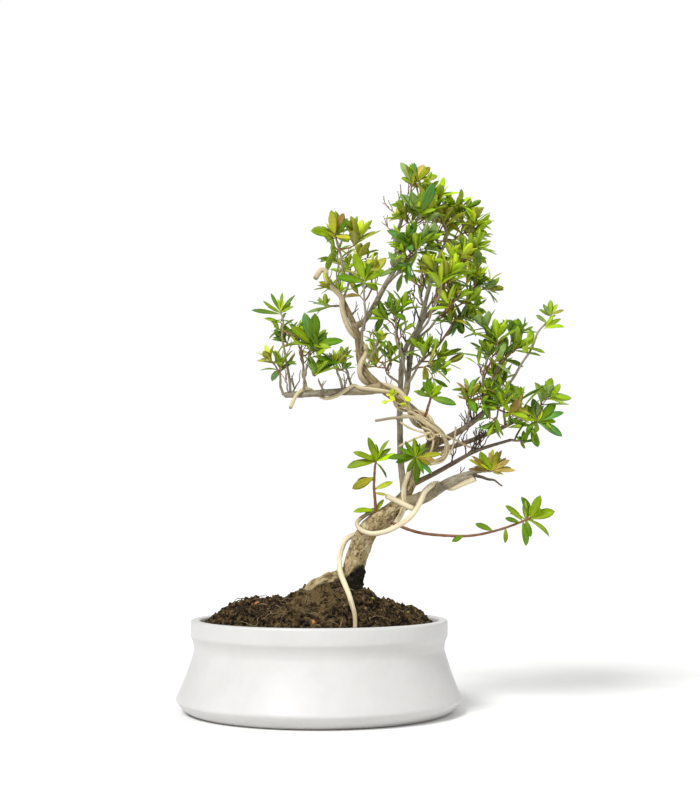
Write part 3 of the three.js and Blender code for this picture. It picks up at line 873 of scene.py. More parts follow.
def tube(line: Array, directions: Array, toward: Array, girth: Array) -> Array:
    """Carries a round profile along a path: its point plus the radius times cosine and sine of the angle.

    Args:
        line: Points of the path.
        directions: The path's direction at each.
        toward: The way that angle 0 leans to.
        girth: Radius by point and angle.

    Returns:
        Rings of points, for one skin.
    """
    front, side = across(directions, toward)
    angle = ring_angles(girth.shape[1])
    spokes = np.cos(angle)[None, :, None] * front[:, None] + np.sin(angle)[None, :, None] * side[:, None]
    return line[:, None] + girth[..., None] * spokes


def grain_of(run: Array, radius: Number, columns: int) -> Array:
    """Places for a pattern on a tube: a circle of its usual radius, with the run along it as height."""
    return polar(radius, ring_angles(columns), run[:, None])


@dataclass
class Bowl:
    """The round white bowl: a lathed wall with a rim band, a soft neck and a flared foot."""

    height: float = 62.0
    rim: float = 88.5
    neck: float = 86.0
    neck_height: float = 42.0
    belly: float = 98.0
    belly_height: float = 9.0
    foot: float = 88.0
    inside: float = 82.0
    columns: int = 224
    step: float = 0.9

    def outline(self) -> Array:
        """The wall's section from the middle of the underside, over the rim and down to the inner floor.

        Every second point is the middle one of a quadratic bend, and corners are eased by averaging.

        Returns:
            Radius and height, by point.
        """
        path = (
            (1, 0), (44, 0), (self.foot, 0), (95, 3), (self.belly, self.belly_height), (89.4, 27.7),
            (self.neck, self.neck_height), (86.2, 48), (self.rim, 51), (self.rim, 56), (self.rim, 61),
            (self.rim, self.height), (87.5, self.height), (85.5, self.height), (83.5, self.height),
            (self.inside, self.height), (self.inside, 60.5), (self.inside, 51),
            (self.inside, self.neck_height), (88, 26), (94, 11), (93, 5), (self.foot, 5), (44, 5), (1, 5),
        )
        share = np.linspace(0, 1, 60)[:, None]
        parts = [
            (1 - share) ** 2 * np.array(a) + 2 * share * (1 - share) * np.array(b) + share**2 * np.array(c)
            for a, b, c in zip(path[:-2:2], path[1::2], path[2::2])
        ]
        rough = np.concatenate(parts)
        run = distance_along(rough)
        even = np.arange(0, run[-1], self.step)
        dense = np.stack([np.interp(even, run, rough[:, k]) for k in range(2)], axis=1)
        padded = np.pad(dense, ((1, 1), (0, 0)), mode="edge")
        return (padded[:-2] + 2 * padded[1:-1] + padded[2:]) / 4

    def build(self) -> None:
        """Turns the section about the upright axis, with a hand's faint waver, and dresses it."""
        section = self.outline()
        angle = ring_angles(self.columns)
        ring = polar(1.0, angle, 0.0)
        rings = section[:, None, :1] * ring[None]
        rings[..., 2] = section[:, 1:]
        waver = 0.22 * layered(rings / 34.0, 41, 3)
        grown = np.clip(section[:, :1] / 60, 0, 1)
        level = smoothstep(section[:, 1:], 6, 14)
        rings = rings + waver[..., None] * ring[None] * grown[..., None] * level[..., None]
        outer = np.arange(len(section)) < np.argmax(section[:, 1])
        # Painted shade in the groove between the neck and the rim band.
        groove_shade = np.exp(-(((section[:, 1] - 46.5) / 2.4) ** 2)) * outer * 0.1
        foot = np.exp(-section[:, 1] / 2.2) * outer * (section[:, 0] > 80) * 0.5
        shown = {"groove_shade": groove_shade, "foot": foot}
        masks = {name: np.repeat(values[:, None], self.columns, 1) for name, values in shown.items()}
        one_skin(rings, masks).place("bowl", GLAZE.material(), Slot.POT, ["pot"])


def turned(count: int, draw: Rng) -> Array:
    """Makes random turns, from unit quaternions.

    Args:
        count: How many.
        draw: Where the numbers come from.

    Returns:
        A square of nine numbers for each.
    """
    w, x, y, z = unit(draw.normal(size=(count, 4))).T
    rows = [
        [1 - 2 * (y * y + z * z), 2 * (x * y - w * z), 2 * (x * z + w * y)],
        [2 * (x * y + w * z), 1 - 2 * (x * x + z * z), 2 * (y * z - w * x)],
        [2 * (x * z - w * y), 2 * (y * z + w * x), 1 - 2 * (x * x + y * y)],
    ]
    return np.array(rows).transpose(2, 0, 1)


def lumps(places: Array, sizes: Array, seed: int) -> Surface:
    """Makes crumbs: balls of five rings of eight points, pushed in and out by noise and turned at random.

    Args:
        places: Where each crumb's middle is.
        sizes: Half its length, width and height.
        seed: Which of many sets of crumbs.

    Returns:
        All crumbs as one surface.
    """
    draw = np.random.default_rng(seed)
    slant = np.linspace(0.16, 0.84, 5)[:, None] * math.pi
    ball = polar(np.sin(slant), ring_angles(8), -np.cos(slant))
    own = ball[None] + draw.uniform(0, 400, (len(places), 1, 1, 3))
    swell = 1 + 0.32 * noise(own * 1.3, seed)
    shaped = ball[None] * swell[..., None] * sizes[:, None, None]
    spun = np.einsum("nij,nrcj->nrci", turned(len(places), draw), shaped)
    return skins(spun + places[:, None, None])


def twigs(
    starts: Array, bends: Array, ends: Array, girths: Array,
    rows: int, columns: int, crook: float, seed: int,
) -> Surface:
    """Makes twigs: round tubes on quadratic curves that waver to either side and swell a little.

    Args:
        starts: Where each twig leaves its limb.
        bends: The middle point of each curve.
        ends: Each twig's tip.
        girths: Radius at the start and at the tip.
        rows: Rings of a twig.
        columns: Points of a ring.
        crook: How far a twig wavers, as a share of its length.
        seed: Which of many sets of waver.

    Returns:
        All twigs as one surface with its grain.
    """
    draw = np.random.default_rng(seed)
    count = len(starts)
    share = np.linspace(0, 1, rows)[None, :, None]
    line = (1 - share) ** 2 * starts[:, None] + 2 * share * (1 - share) * bends[:, None]
    line = line + share**2 * ends[:, None]
    chord = ends - starts
    length = np.linalg.norm(chord, axis=1)
    toward = np.eye(3)[np.abs(chord).argmin(axis=1)][:, None]
    front, side = across(unit(chord)[:, None], toward)
    phase = draw.uniform(0, FULL_TURN, (2, 3, count, 1))
    wave = [
        sum(np.sin(FULL_TURN * (k + 0.7) * share[..., 0] + phase[way, k]) / (k + 1) for k in range(3))
        for way in range(2)
    ]
    held = (crook * length)[:, None] * np.sqrt(np.clip(4 * share[..., 0] * (1 - share[..., 0]), 0, 1))
    line = line + (held * wave[0])[..., None] * front + (held * wave[1])[..., None] * side
    path = unit(np.gradient(line, axis=1))
    front, side = across(path, toward)
    angle = ring_angles(columns)
    spokes = np.cos(angle)[:, None] * front[:, :, None] + np.sin(angle)[:, None] * side[:, :, None]
    girth = mix(girths[:, None, :1], girths[:, None, 1:], share)[..., 0]
    joints = 1 + 0.08 * np.cos(FULL_TURN * (2.5 * share[..., 0] * (1 + length[:, None] / 20)) + phase[0, 0])
    rings = line[:, :, None] + (girth * joints)[..., None, None] * spokes
    run = share[..., 0] * length[:, None] + draw.uniform(0, 500, (count, 1))
    return skins(rings, None, polar(girth[..., None], angle, run[..., None]))


@dataclass
class SoilBed:
    """The mound of damp soil in the bowl, with clods, crumbs, fibres, bark chips and bits of moss on it."""

    edge: float = 60.0
    rise: float = 16.0
    inside: float = 82.0
    seat: Pair = (9.0, -2.0)
    seat_radius: float = 24.0
    seat_slope: float = 13.0
    seat_height: float = 81.5
    rings: int = 170
    columns: int = 380
    underside: float = 45.0
    settled: float = 1.5
    rear_drop: float = 2.2
    edge_drop: float = 2.5
    heaps: tuple[tuple[float, float, float, float], ...] = (
        (5, -7, 9, 7), (12, -6, 8, 7.5), (-6, -8, 8, 2.5), (32, -3, 6, 2.5), (-64, -4, 12, 2.5),
    )
    dry_patch: tuple[float, float, float, float] = (-2.0, -42.0, 21.0, 40.0)
    moss: tuple[Pair, ...] = ((36.6, -20.0), (59.8, -30.0))
    chip: tuple[Pair, ...] = ((-41.3, -20.0),)
    littered: float = 79.0
    fibres: int = 110
    fibre_reach: float = 78.0
    seed: int = 61

    def level(self, x: Array, y: Array) -> Array:
        """The mound's height: it rises from the wall by a fourth power, rolls, and is level at the trunk.

        Args:
            x: Place across.
            y: Place in depth.

        Returns:
            Heights in millimetres.
        """
        out = np.hypot(x, y) / self.inside
        off = np.hypot(x - self.seat[0], y - self.seat[1])
        roll = 1.4 * np.sin(0.11 * x + 0.5) * np.cos(0.13 * y - 0.8) + 0.8 * np.sin(0.23 * x - 0.19 * y)
        mound = self.edge + self.rise * (1 - out**4) + roll * (1 - out**6)
        away = smoothstep(off, self.seat_radius, self.seat_radius + self.seat_slope)
        return np.minimum(mix(self.seat_height, mound, away), self.seat_height)

    def height(self, x: Array, y: Array) -> tuple[Array, Array]:
        """The finished ground, and the painted shade of its hollows.

        The mound sinks at its rim and rear, and bells heap it up at the trunk's foot. Broad clods and small
        crumbs make it loose, with hollows between them.

        Args:
            x: Place across.
            y: Place in depth.

        Returns:
            Heights in millimetres, and the mask of painted shade in the hollows.
        """
        out = np.hypot(x, y) / self.inside
        places = np.stack([x, y, np.zeros_like(x)], axis=-1)
        crumbs = np.abs(layered(places / 3.4, self.seed + 7, 3))
        relief = 1.8 * layered(places / 10.0, self.seed, 3) + 2.4 * (crumbs - 0.35)
        heaped = np.zeros_like(x)
        for middle, depth, wide, high in self.heaps:
            heaped = np.maximum(heaped, high * np.exp(-((x - middle) ** 2 + (y - depth) ** 2) / wide**2))
        sunk = self.settled + self.rear_drop * smoothstep(y, 8, 45)
        sunk = sunk + self.edge_drop * smoothstep(out, 0.78, 0.97)
        ground = self.level(x, y) - sunk + heaped
        # The second value is painted shade, strongest where the relief sinks lowest.
        return ground + relief * (1 - 0.5 * smoothstep(out, 0.9, 1.0)), smoothstep(-relief, 0.4, 1.8)

    def dryness(self, x: Array, y: Array) -> Array:
        """How dry and pale the ground is: a ragged patch in front of the trunk, thick and thin by noise.

        Args:
            x: Place across.
            y: Place in depth.

        Returns:
            Shares from 0 to 1.
        """
        places = np.stack([x, y, 0 * x], axis=-1)
        middle, depth, wide, deep = self.dry_patch
        off = np.hypot((x - middle) / wide, (y - depth) / deep)
        off = off + 0.45 * layered(places / 12.0, self.seed + 3, 3)
        thick = smoothstep(layered(places / 3.2, self.seed + 5, 3), -0.4, 0.45)
        return (1 - smoothstep(off, 0.6, 1.1)) * mix(0.1, 0.9, thick)

    def build_mound(self) -> None:
        """Closes the bed: a flat underside, a short wall inside the bowl, and the ground as rings."""
        share = np.linspace(0, 1, self.rings)
        radius = self.inside * (1 - share) - 0.15 * (1 - share) + 0.4 * share
        angle = ring_angles(self.columns)
        x = radius[:, None] * np.cos(angle)
        y = radius[:, None] * np.sin(angle)
        ground, hollow_shade = self.height(x, y)
        top = np.stack([x, y, ground], axis=-1)
        wall = np.array([[1.0], [40.0], [79.0], [81.8]])
        foot = np.array([[self.underside], [self.underside], [self.underside], [54.0]])
        base = polar(wall, angle, foot)
        unseen = np.zeros((len(wall), self.columns))
        shown = {"hollow_shade": hollow_shade, "dry": self.dryness(x, y)}
        masks = {name: np.concatenate([unseen, values]) for name, values in shown.items()}
        mound = one_skin(np.concatenate([base, top]), masks)
        mound.place("soil_mound", EARTH.material(), Slot.SOIL, ["soil"])

    def scattered(self, count: int, draw: Rng) -> Array:
        """Places spread evenly on the ground, clear of the wall.

        Args:
            count: How many.
            draw: Where the numbers come from.

        Returns:
            Points on the ground.
        """
        radius = self.littered * np.sqrt(draw.uniform(0, 1, count))
        angle = draw.uniform(0, FULL_TURN, count)
        x = radius * np.cos(angle)
        y = radius * np.sin(angle)
        return np.stack([x, y, self.height(x, y)[0]], axis=-1)

    def build_crumbs(self, draw: Rng) -> None:
        """Lays crumbs of two colours, bark chips and bits of moss on the ground.

        Args:
            draw: Where the numbers come from.
        """
        crumbs = (
            ("soil_crumbs_dark", DARK_CRUMB, 1000, 0.5, 1.7, ()),
            ("soil_crumbs_tan", TAN_CRUMB, 300, 0.35, 1.1, ()),
            ("soil_chips", CHIP, 6, 1.4, 2.6, self.chip),
            ("soil_moss", MOSS, 6, 1.0, 2.0, self.moss),
        )
        for k, (name, finish, count, least, most, known) in enumerate(crumbs):
            places = self.scattered(count, draw)
            for row, (x, y) in enumerate(known):
                places[row] = (x, y, self.height(np.array(x), np.array(y))[0] + 0.6)
            size = mix(least, most, draw.uniform(0, 1, (count, 1)) ** 2.2)
            size = size * draw.uniform(0.6, 1.25, (count, 3))
            size[: len(known)] = most * np.array([1.0, 0.8, 0.7])
            if finish is DARK_CRUMB:
                kept = self.dryness(places[:, 0], places[:, 1]) < 0.35
                places, size = places[kept], size[kept]
            made = lumps(places - 0.4 * size[:, :1] * UPWARD, size, self.seed + k)
            made.place(name, finish.material(), Slot.SOIL, [], smooth=finish in (CHIP, MOSS))

    def build_fibres(self, draw: Rng) -> None:
        """Lays thin root fibres on the ground, which arch a little between their ends.

        Args:
            draw: Where the numbers come from.
        """
        starts = self.scattered(self.fibres, draw)
        heading = draw.uniform(0, FULL_TURN, self.fibres)
        reach = draw.uniform(5, 18, self.fibres)
        ends = starts + polar(reach, heading, 0.0)
        inward = np.minimum(1, self.fibre_reach / np.maximum(np.hypot(ends[:, 0], ends[:, 1]), 1e-6))
        ends[:, :2] *= inward[:, None]
        ends[:, 2] = self.height(ends[:, 0], ends[:, 1])[0] + 0.2
        aside = [draw.normal(0, 2, self.fibres) for _ in range(2)]
        bends = (starts + ends) / 2 + np.stack([*aside, 0 * reach + 1.6], -1)
        girths = np.stack([draw.uniform(0.22, 0.42, self.fibres), 0 * reach + 0.16], axis=-1)
        made = twigs(starts, bends, ends, girths, 9, 5, 0.06, self.seed)
        made.place("soil_fibres", FIBRE.material(), Slot.SOIL, [])

    def build(self) -> None:
        """Builds the mound and what lies on it."""
        draw = np.random.default_rng(self.seed)
        self.build_mound()
        self.build_crumbs(draw)
        self.build_fibres(draw)


@dataclass
class Wood:
    """The trunk with its leader and surface root, and the boughs, each a mesh with the bark's relief."""

    trunk_columns: int = 132
    trunk_step: float = 0.8
    root_columns: int = 72
    root_grain: float = 300.0
    bough_columns: int = 44
    bough_step: float = 0.9
    ground: float = 78.5
    tip: float = 1.15
    dark: tuple[str, ...] = ("right_low_branch", "right_high_branch", "right_outer_branch")
    blunt: tuple[str, ...] = ("left_bough", "right_bough")
    seed: int = 23

    def old_bark(self, grain: Array) -> tuple[Array, Masks]:
        """Relief of old bark: slow lumps, plates parted by cracks where noise crosses zero, and flakes.

        Args:
            grain: Places on the limb's skin.

        Returns:
            Relief in millimetres, and the crack, pale-flake and dark-spot masks.
        """
        lumpy = grained(grain, 8, 14, self.seed, 2)
        parting = np.abs(grained(grain, 2.6, 5.5, self.seed + 5, 2))
        crack = 1 - smoothstep(parting, 0.0, 0.14)
        broken = np.abs(grained(grain, 3.4, 2.4, self.seed + 9))
        crack = np.maximum(crack, 0.8 * (1 - smoothstep(broken, 0.0, 0.1)))
        crack = crack * smoothstep(grained(grain, 7, 9, self.seed + 13), -0.5, 0.3)
        flakes = grained(grain, 1.0, 1.5, self.seed + 11, 3)
        pale = smoothstep(grained(grain, 3, 4, self.seed + 17, 3), 0.15, 0.6) * (1 - crack)
        spot = smoothstep(grained(grain, 1.3, 1.1, self.seed + 19, 2), 0.5, 0.9)
        relief = 0.55 * lumpy - 0.4 * crack + 0.26 * flakes + 0.2 * pale - 0.15 * spot
        return relief, {"crack": crack * 0.95, "pale": pale * 0.65, "spot": spot * 0.9}

    def young_bark(self, grain: Array) -> tuple[Array, Masks]:
        """Relief of young bark: low lumps, fine lengthwise wrinkles, and rings of old leaf scars.

        Args:
            grain: Places on the limb's skin.

        Returns:
            Relief in millimetres, and the crack mask.
        """
        lumpy = grained(grain, 5, 9, self.seed + 21, 2)
        wrinkle = np.abs(grained(grain, 1.3, 6, self.seed + 25))
        scars = smoothstep(grained(grain, 9, 2.6, self.seed + 29), 0.3, 0.75)
        crack = np.maximum(1 - smoothstep(wrinkle, 0.0, 0.16), 0.8 * scars)
        return 0.26 * lumpy - 0.14 * crack + 0.2 * scars, {"crack": crack * 0.7}

    def trunk_skin(self) -> Surface:
        """Trunk and leader as one limb of old bark, grown over and frayed at the bend with painted shade
        among the ties there, and greyer above it.

        Returns:
            The closed surface.
        """
        trunk = LIMBS["trunk"]
        leader = LIMBS["leader"]
        share = trunk.line.even(self.trunk_step)
        low = share <= BEND
        angle = ring_angles(self.trunk_columns)
        own = np.where(low, share / BEND, (share - BEND) / (1 - BEND))[:, None]
        girth = np.where(low[:, None], trunk.girth(own, angle), leader.girth(own, angle))
        girth = mix(girth, np.minimum(girth, self.tip), smoothstep(share, 0.93, 1.0)[:, None])
        inside = np.exp(-(((share - BEND - 0.015) / 0.05) ** 2))[:, None] * np.clip(-np.sin(angle), 0, 1)
        girth = girth + 2.8 * inside
        line = trunk.line.at(share)
        run = distance_along(line)
        grain = grain_of(run, 8.0, self.trunk_columns)
        relief, masks = self.old_bark(grain)
        bend = np.exp(-(((share - BEND) / 0.09) ** 2))[:, None]
        fibres = bend * smoothstep(grained(grain, 0.9, 16, self.seed + 41), 0.0, 0.4)
        # Painted shade at the bend among the ties, and the darker frayed fibres there.
        masks["crack"] = np.maximum(masks["crack"], 0.45 * bend + 0.45 * fibres)
        greyed = smoothstep(share, BEND + 0.06, BEND + 0.2)[:, None]
        masks["spot"] = np.maximum(masks["spot"], 0.5 * greyed)
        relief = relief - 0.4 * fibres
        calm = np.clip(girth / 7.0, 0.3, 1.0)
        rings = tube(line, trunk.line.direction(share), FRONT, girth + relief * calm)
        return self.grounded(rings, masks, grain)

    def root_skin(self) -> Surface:
        """The surface root that grows into the trunk's foot, with knots by noise.

        Returns:
            The closed surface.
        """
        path = SURFACE_ROOT.line
        share = path.even(self.trunk_step)
        line = path.at(share)
        grain = grain_of(distance_along(line), 5.0, self.root_columns) + self.root_grain
        relief, masks = self.old_bark(grain)
        girth = SURFACE_ROOT.girth(share[:, None], ring_angles(self.root_columns))
        knots = 0.9 + 1.5 * grained(grain, 7, 5, self.seed + 43)
        rings = tube(line, path.direction(share), FRONT, girth + relief + knots)
        return self.grounded(rings, masks, grain)

    def grounded(self, rings: Array, masks: Masks, grain: Array) -> Surface:
        """Keeps a skin from going below the soil and darkens its foot near the soil all round. On the side
        that the light leaves dark it adds a wet crust, whose dark stain is wetness and painted shade.

        Args:
            rings: The skin's rings.
            masks: Masks by ring and place.
            grain: Grain by ring and place.

        Returns:
            The closed surface.
        """
        rings[..., 2] = np.maximum(rings[..., 2], self.ground)
        damp = layered(rings / 8.0, self.seed + 31, 3)
        over = rings[..., 2] + 4 * damp - (93 + 0.6 * (rings[..., 0] - 19))
        # A wet crust on the side that the light leaves dark: wetness and painted shade.
        wet_and_shade = (1 - smoothstep(over, -1.5, 2)) * smoothstep(rings[..., 0] + 3 * damp, 13.5, 18)
        # Darker towards the soil all round.
        foot = 0.9 * (1 - smoothstep(rings[..., 2] + 4 * damp, 80, 86))
        crust = wet_and_shade * (0.5 + layered(rings / 2.6, self.seed + 37, 3))
        outward = rings - rings.mean(axis=1, keepdims=True)
        rings = rings + crust[..., None] * unit(outward * np.array([1, 1, 0.2]))
        return one_skin(rings, masks | {"wet_and_shade": np.maximum(wet_and_shade, foot)}, grain)

    def build_bough(self, name: str, limb: Limb) -> None:
        """Builds one bough: swollen at its root, wrinkled, and drawn in or cut blunt at its tip.

        Args:
            name: The bough's node.
            limb: Its line and widths.
        """
        share = limb.line.even(self.bough_step)
        line = limb.line.at(share)
        run = distance_along(line)
        angle = ring_angles(self.bough_columns)
        girth = limb.girth(share[:, None], angle)
        girth = girth * (1 + 0.22 * np.exp(-run / 6))[:, None]
        if name in self.blunt:
            rounded = 1 - np.clip(1 - (run[-1] - run) / 1.6, 0, 1) ** 2
            girth = girth * np.sqrt(np.maximum(rounded, 0.2))[:, None]
        else:
            girth = mix(girth, np.minimum(girth, self.tip), smoothstep(share, 0.82, 1.0)[:, None])
        offset = 41.0 * len(name)
        grain = grain_of(run + offset, 3.0, self.bough_columns)
        relief, masks = self.young_bark(grain)
        masks["old"] = 0.9 * np.exp(-np.repeat(run[:, None], self.bough_columns, 1) / 14)
        calm = np.clip(girth / 3.0, 0.35, 1.2)
        rings = tube(line, limb.line.direction(share), FRONT, girth + relief * calm)
        bark = DARK_BARK if name in self.dark else YOUNG_BARK
        one_skin(rings, masks, grain).place(f"{name}_bark", bark.material(), Slot.BRANCH, [name])

    def build(self) -> None:
        """Builds the trunk with its root, then each bough."""
        trunk = join([self.trunk_skin(), self.root_skin()])
        trunk.place("trunk_bark", OLD_BARK.material(), Slot.BARK, ["trunk", "leader"])
        for name, limb in LIMBS.items():
            if name not in ("trunk", "leader"):
                self.build_bough(name, limb)


Stretch = tuple[tuple[float, ...], ...]

# Each wire's stretches: free ones by points, those on a limb by share, angle and how far it stands clear
WIRES: dict[str, tuple[tuple[str, Stretch], ...]] = {
    "trunk_wire": (
        ("", ((24.2, -76, 61), (24, -66, 68.5), (20.5, -42, 80), (14, -14.5, 97))),
        ("trunk", (
            (0.27, -95, 2.5), (0.33, -115, 2.2), (0.38, -165, 0.6), (0.43, -225), (0.48, -268),
            (0.52, -303), (0.555, -338), (0.59, -375), (0.63, -400), (0.7, -410), (0.78, -400),
            (0.86, -350),
        )),
    ),
    "leader_wire": (
        ("leader", (
            (0.06, 130), (0.3, 405), (0.36, 440), (0.48, 540), (0.61, 720), (0.765, 960), (0.9, 1080),
        )),
        ("", (
            (7.7, -14.5, 292.5), (4.2, -15, 298.5), (3.9, -15, 303), (1.1, -15.5, 303.7), (-3.4, -17, 297),
        )),
    ),
    "bough_wire": (
        ("trunk", ((0.47, 235), (0.44, 260))),
        ("", (
            (25.8, -6, 127.9), (28.6, -11, 123.1), (35.4, -14, 120.7), (45.6, -15.5, 122.1),
            (55.2, -16, 126.8), (62.1, -16, 131.9), (66.9, -15.5, 138.1), (69.7, -15, 143.6),
            (72.2, -14, 149.1), (76.1, -12, 152.9),
        )),
        ("right_bough", (
            (0.5, -140), (0.58, -205, -0.4), (0.66, -258, -0.8), (0.82, -276, -0.8), (0.97, -288, -0.6),
        )),
    ),
    "tail_wire": (("", ((45.7, -15, 146.3), (52, -12.5, 143.6), (58.9, -12, 140.2), (65, -12, 137.4))),),
    "left_wire": (
        ("", ((38, -28, 197), (52, -29, 199), (66, -28, 199))),
        ("leader", ((0.1, 10), (0.37, 365))),
        ("left_bough", ((0.3, 30), (0.37, 70), (0.62, -90), (0.86, -370))),
        ("", ((-20, -23, 206),)),
    ),
}
# Straw at the bend: flat ties and round loops by points, and wraps on the leader by share and angle
TIES: tuple[Stretch, ...] = (
    (
        (54.1, -20, 179.9), (60.8, -24, 183.1), (68.7, -26, 186.3), (75.5, -26, 188), (77.7, -26, 182.9),
        (76.1, -24, 176.2), (75.1, -22, 170),
    ),
    (
        (55.2, -22, 196.9), (62, -24, 192.2), (71, -25, 189.3), (77.8, -25, 187.5), (82.4, -24, 188.2),
        (89.4, -22, 186), (103.6, -16, 179.6),
    ),
    ((89.8, -16, 174.4), (92.6, -18, 184.6), (93.8, -18, 193.8)),
    (
        (70, -26, 193), (76, -27.5, 190), (78, -27, 186), (74, -27, 184.5), (72.5, -26.5, 188),
        (77, -27.5, 189.5),
    ),
)
LOOPS: tuple[Stretch, ...] = (
    (
        (56.4, -22, 201.5), (66.6, -24, 199), (75.7, -24, 193.9), (84.9, -22, 186.6), (88.8, -16, 178.9),
        (85.1, -13, 170.9), (75.7, -14, 167.9),
    ),
    (
        (64.3, -24, 202.5), (74.5, -24, 195.6), (82.6, -22, 190), (86.7, -18, 182.2), (86.1, -15, 174.2),
        (80.3, -14, 170.7), (72.8, -12, 169.5),
    ),
    (
        (60, -23, 204.5), (71, -23.5, 199.5), (80, -21, 194), (86, -16, 188), (87.5, -11, 181),
        (84, -8, 174.5),
    ),
)
WRAPS: tuple[Stretch, ...] = (
    ((0.0, -75), (0.08, -40), (0.16, -55), (0.25, -20), (0.33, -45)),
    ((0.02, -10), (0.1, 15), (0.19, -15), (0.27, 25), (0.34, 40)),
    ((0.04, 35), (0.12, -25), (0.2, 30), (0.3, -70)),
)


@dataclass
class TrainingWire:
    """The thick cream wire that is wound on trunk, leader and boughs, and the straw ties at the bend."""

    radius: float = 1.9
    slim: float = 1.25
    stand: float = 0.15
    turn_step: float = 36.0
    columns: int = 26
    step: float = 1.0
    tie: float = 0.8
    tie_flat: float = 0.5
    tie_columns: int = 10
    wrap: float = 0.7
    wrap_flat: float = 0.6
    wrap_stand: float = 0.5
    loop: float = 1.0
    loop_columns: int = 12
    long_run: float = 120.0
    aged: tuple[str, ...] = ("leader_wire", "left_wire")

    def wound(self, name: str, turns: Stretch, radius: float) -> list[Array]:
        """Points of a wire wound on a limb, through each named place along it and angle round it.

        Args:
            name: The limb.
            turns: Share along the limb, angle in degrees, and how far it stands clear.
            radius: The wire's own radius.

        Returns:
            Points of the wire's middle.
        """
        limb = LIMBS[name]
        off = radius + self.stand
        full = [(*turn, 0.0)[:3] for turn in turns]
        points = [limb.beside(full[0][0], full[0][1], off + full[0][2])]
        for before, after in zip(full, full[1:]):
            count = max(1, round(abs(after[1] - before[1]) / self.turn_step))
            steps = [mix(np.array(before), np.array(after), (k + 1) / count) for k in range(count)]
            points += [limb.beside(share, degrees, off + clear) for share, degrees, clear in steps]
        return points

    def path(self, name: str, radius: float) -> Path:
        """A wire's way along its free stretches and its turns on limbs.

        Args:
            name: The wire's node.
            radius: The wire's own radius.

        Returns:
            Points of its middle.
        """
        points = []
        for limb, rows in WIRES[name]:
            points += self.wound(limb, rows, radius) if limb else rows
        return points

    def strand(self, points: Path, radius: float, columns: int, flat: float = 1.0) -> Surface:
        """A wire or tie: a round or flattened profile along a smooth line, cut square with eased edges.

        Args:
            points: Points of its middle.
            radius: Half its width.
            columns: Points of a ring.
            flat: Its thickness as a share of its width.

        Returns:
            The closed surface with its grain and worn streaks.
        """
        path = Spline(tuple(tuple(p) for p in points), 0.5)
        share = path.even(max(0.4, self.step * radius / self.radius))
        line = path.at(share)
        run = distance_along(line)
        ends = np.minimum(run, run[-1] - run)
        eased = np.sqrt(np.clip(1 - (1 - np.clip(ends / (0.5 * radius), 0, 1)) ** 2, 0.55, 1))
        angle = ring_angles(columns)
        squeeze = 1 / np.sqrt(np.cos(angle) ** 2 / flat**2 + np.sin(angle) ** 2)
        grain = grain_of(run + 31 * len(points), radius, columns)
        dents = 0.04 * radius * grained(grain, 1.2, 5, 77, 2)
        thinned = mix(0.74, 1.0, smoothstep(run, 0, 70)) if run[-1] > self.long_run else 1.0
        girth = radius * (eased * thinned)[:, None] * squeeze + dents
        heading = unit(np.gradient(line, axis=0))
        rings = tube(line, heading, np.array([0.31, -0.9, 0.3]), girth)
        streaks = smoothstep(grained(grain, 0.8, 22, 79), 0.2, 0.8) * 0.7
        cut = np.clip(1 - ends / 1.2, 0, 1)[:, None] * 0.7
        soiled = 0.75 * (1 - smoothstep(run, 8, 40))[:, None] if run[-1] > self.long_run else 0.0
        return one_skin(rings, {"worn": np.maximum(np.maximum(streaks, cut), soiled)}, grain)

    def build_ties(self) -> None:
        """Builds the thin strands that are looped and knotted round the upper bend."""
        made = [self.strand(list(points), self.tie, self.tie_columns, self.tie_flat) for points in TIES]
        wraps = [self.wound("leader", turns, self.wrap_stand) for turns in WRAPS]
        made += [self.strand(points, self.wrap, self.tie_columns, self.wrap_flat) for points in wraps]
        made += [self.strand(list(points), self.loop, self.loop_columns) for points in LOOPS]
        join(made).place("straw_ties", RAFFIA.material(), Slot.WIRE, [])

    def build(self) -> None:
        """Builds each wire and the ties."""
        fresh = WRAP.material()
        aged = AGED_WRAP.material()
        for name in WIRES:
            radius = self.slim if name == "left_wire" else self.radius
            wire = self.strand(self.path(name, radius), radius, self.columns)
            wire.place(f"{name}_wrapped", aged if name in self.aged else fresh, Slot.WIRE, [name])
        self.build_ties()


class Seeded:
    """The source's own run of numbers from 0 to 1, so that twigs stand where the solids have them."""

    def __init__(self, seed: int) -> None:
        """Starts the run."""
        self.state = seed

    def draw(self) -> float:
        """Steps the state on, and folds and multiplies its bits.

        Returns:
            The run's next number.
        """
        low = 0xFFFFFFFF
        self.state = (self.state + 0x6D2B79F5) & low
        mixed = ((self.state ^ (self.state >> 15)) * (1 | self.state)) & low
        mixed = ((mixed + (((mixed ^ (mixed >> 7)) * (61 | mixed)) & low)) & low) ^ mixed
        return ((mixed ^ (mixed >> 14)) & low) / 2**32


@dataclass(frozen=True)
class Bend:
    """A curve of three points, quadratic in its share."""

    start: Array
    middle: Array
    end: Array

    def point(self, share: float) -> Array:
        """A point on the curve."""
        return (1 - share) ** 2 * self.start + 2 * share * (1 - share) * self.middle + share**2 * self.end

    def direction(self, share: float) -> Array:
        """The curve's direction."""
        return unit((1 - share) * (self.middle - self.start) + share * (self.end - self.middle))

    def length(self) -> float:
        """The straight distance from end to end."""
        return float(np.linalg.norm(self.end - self.start))


Spray = tuple[Bend, Array, Tint]

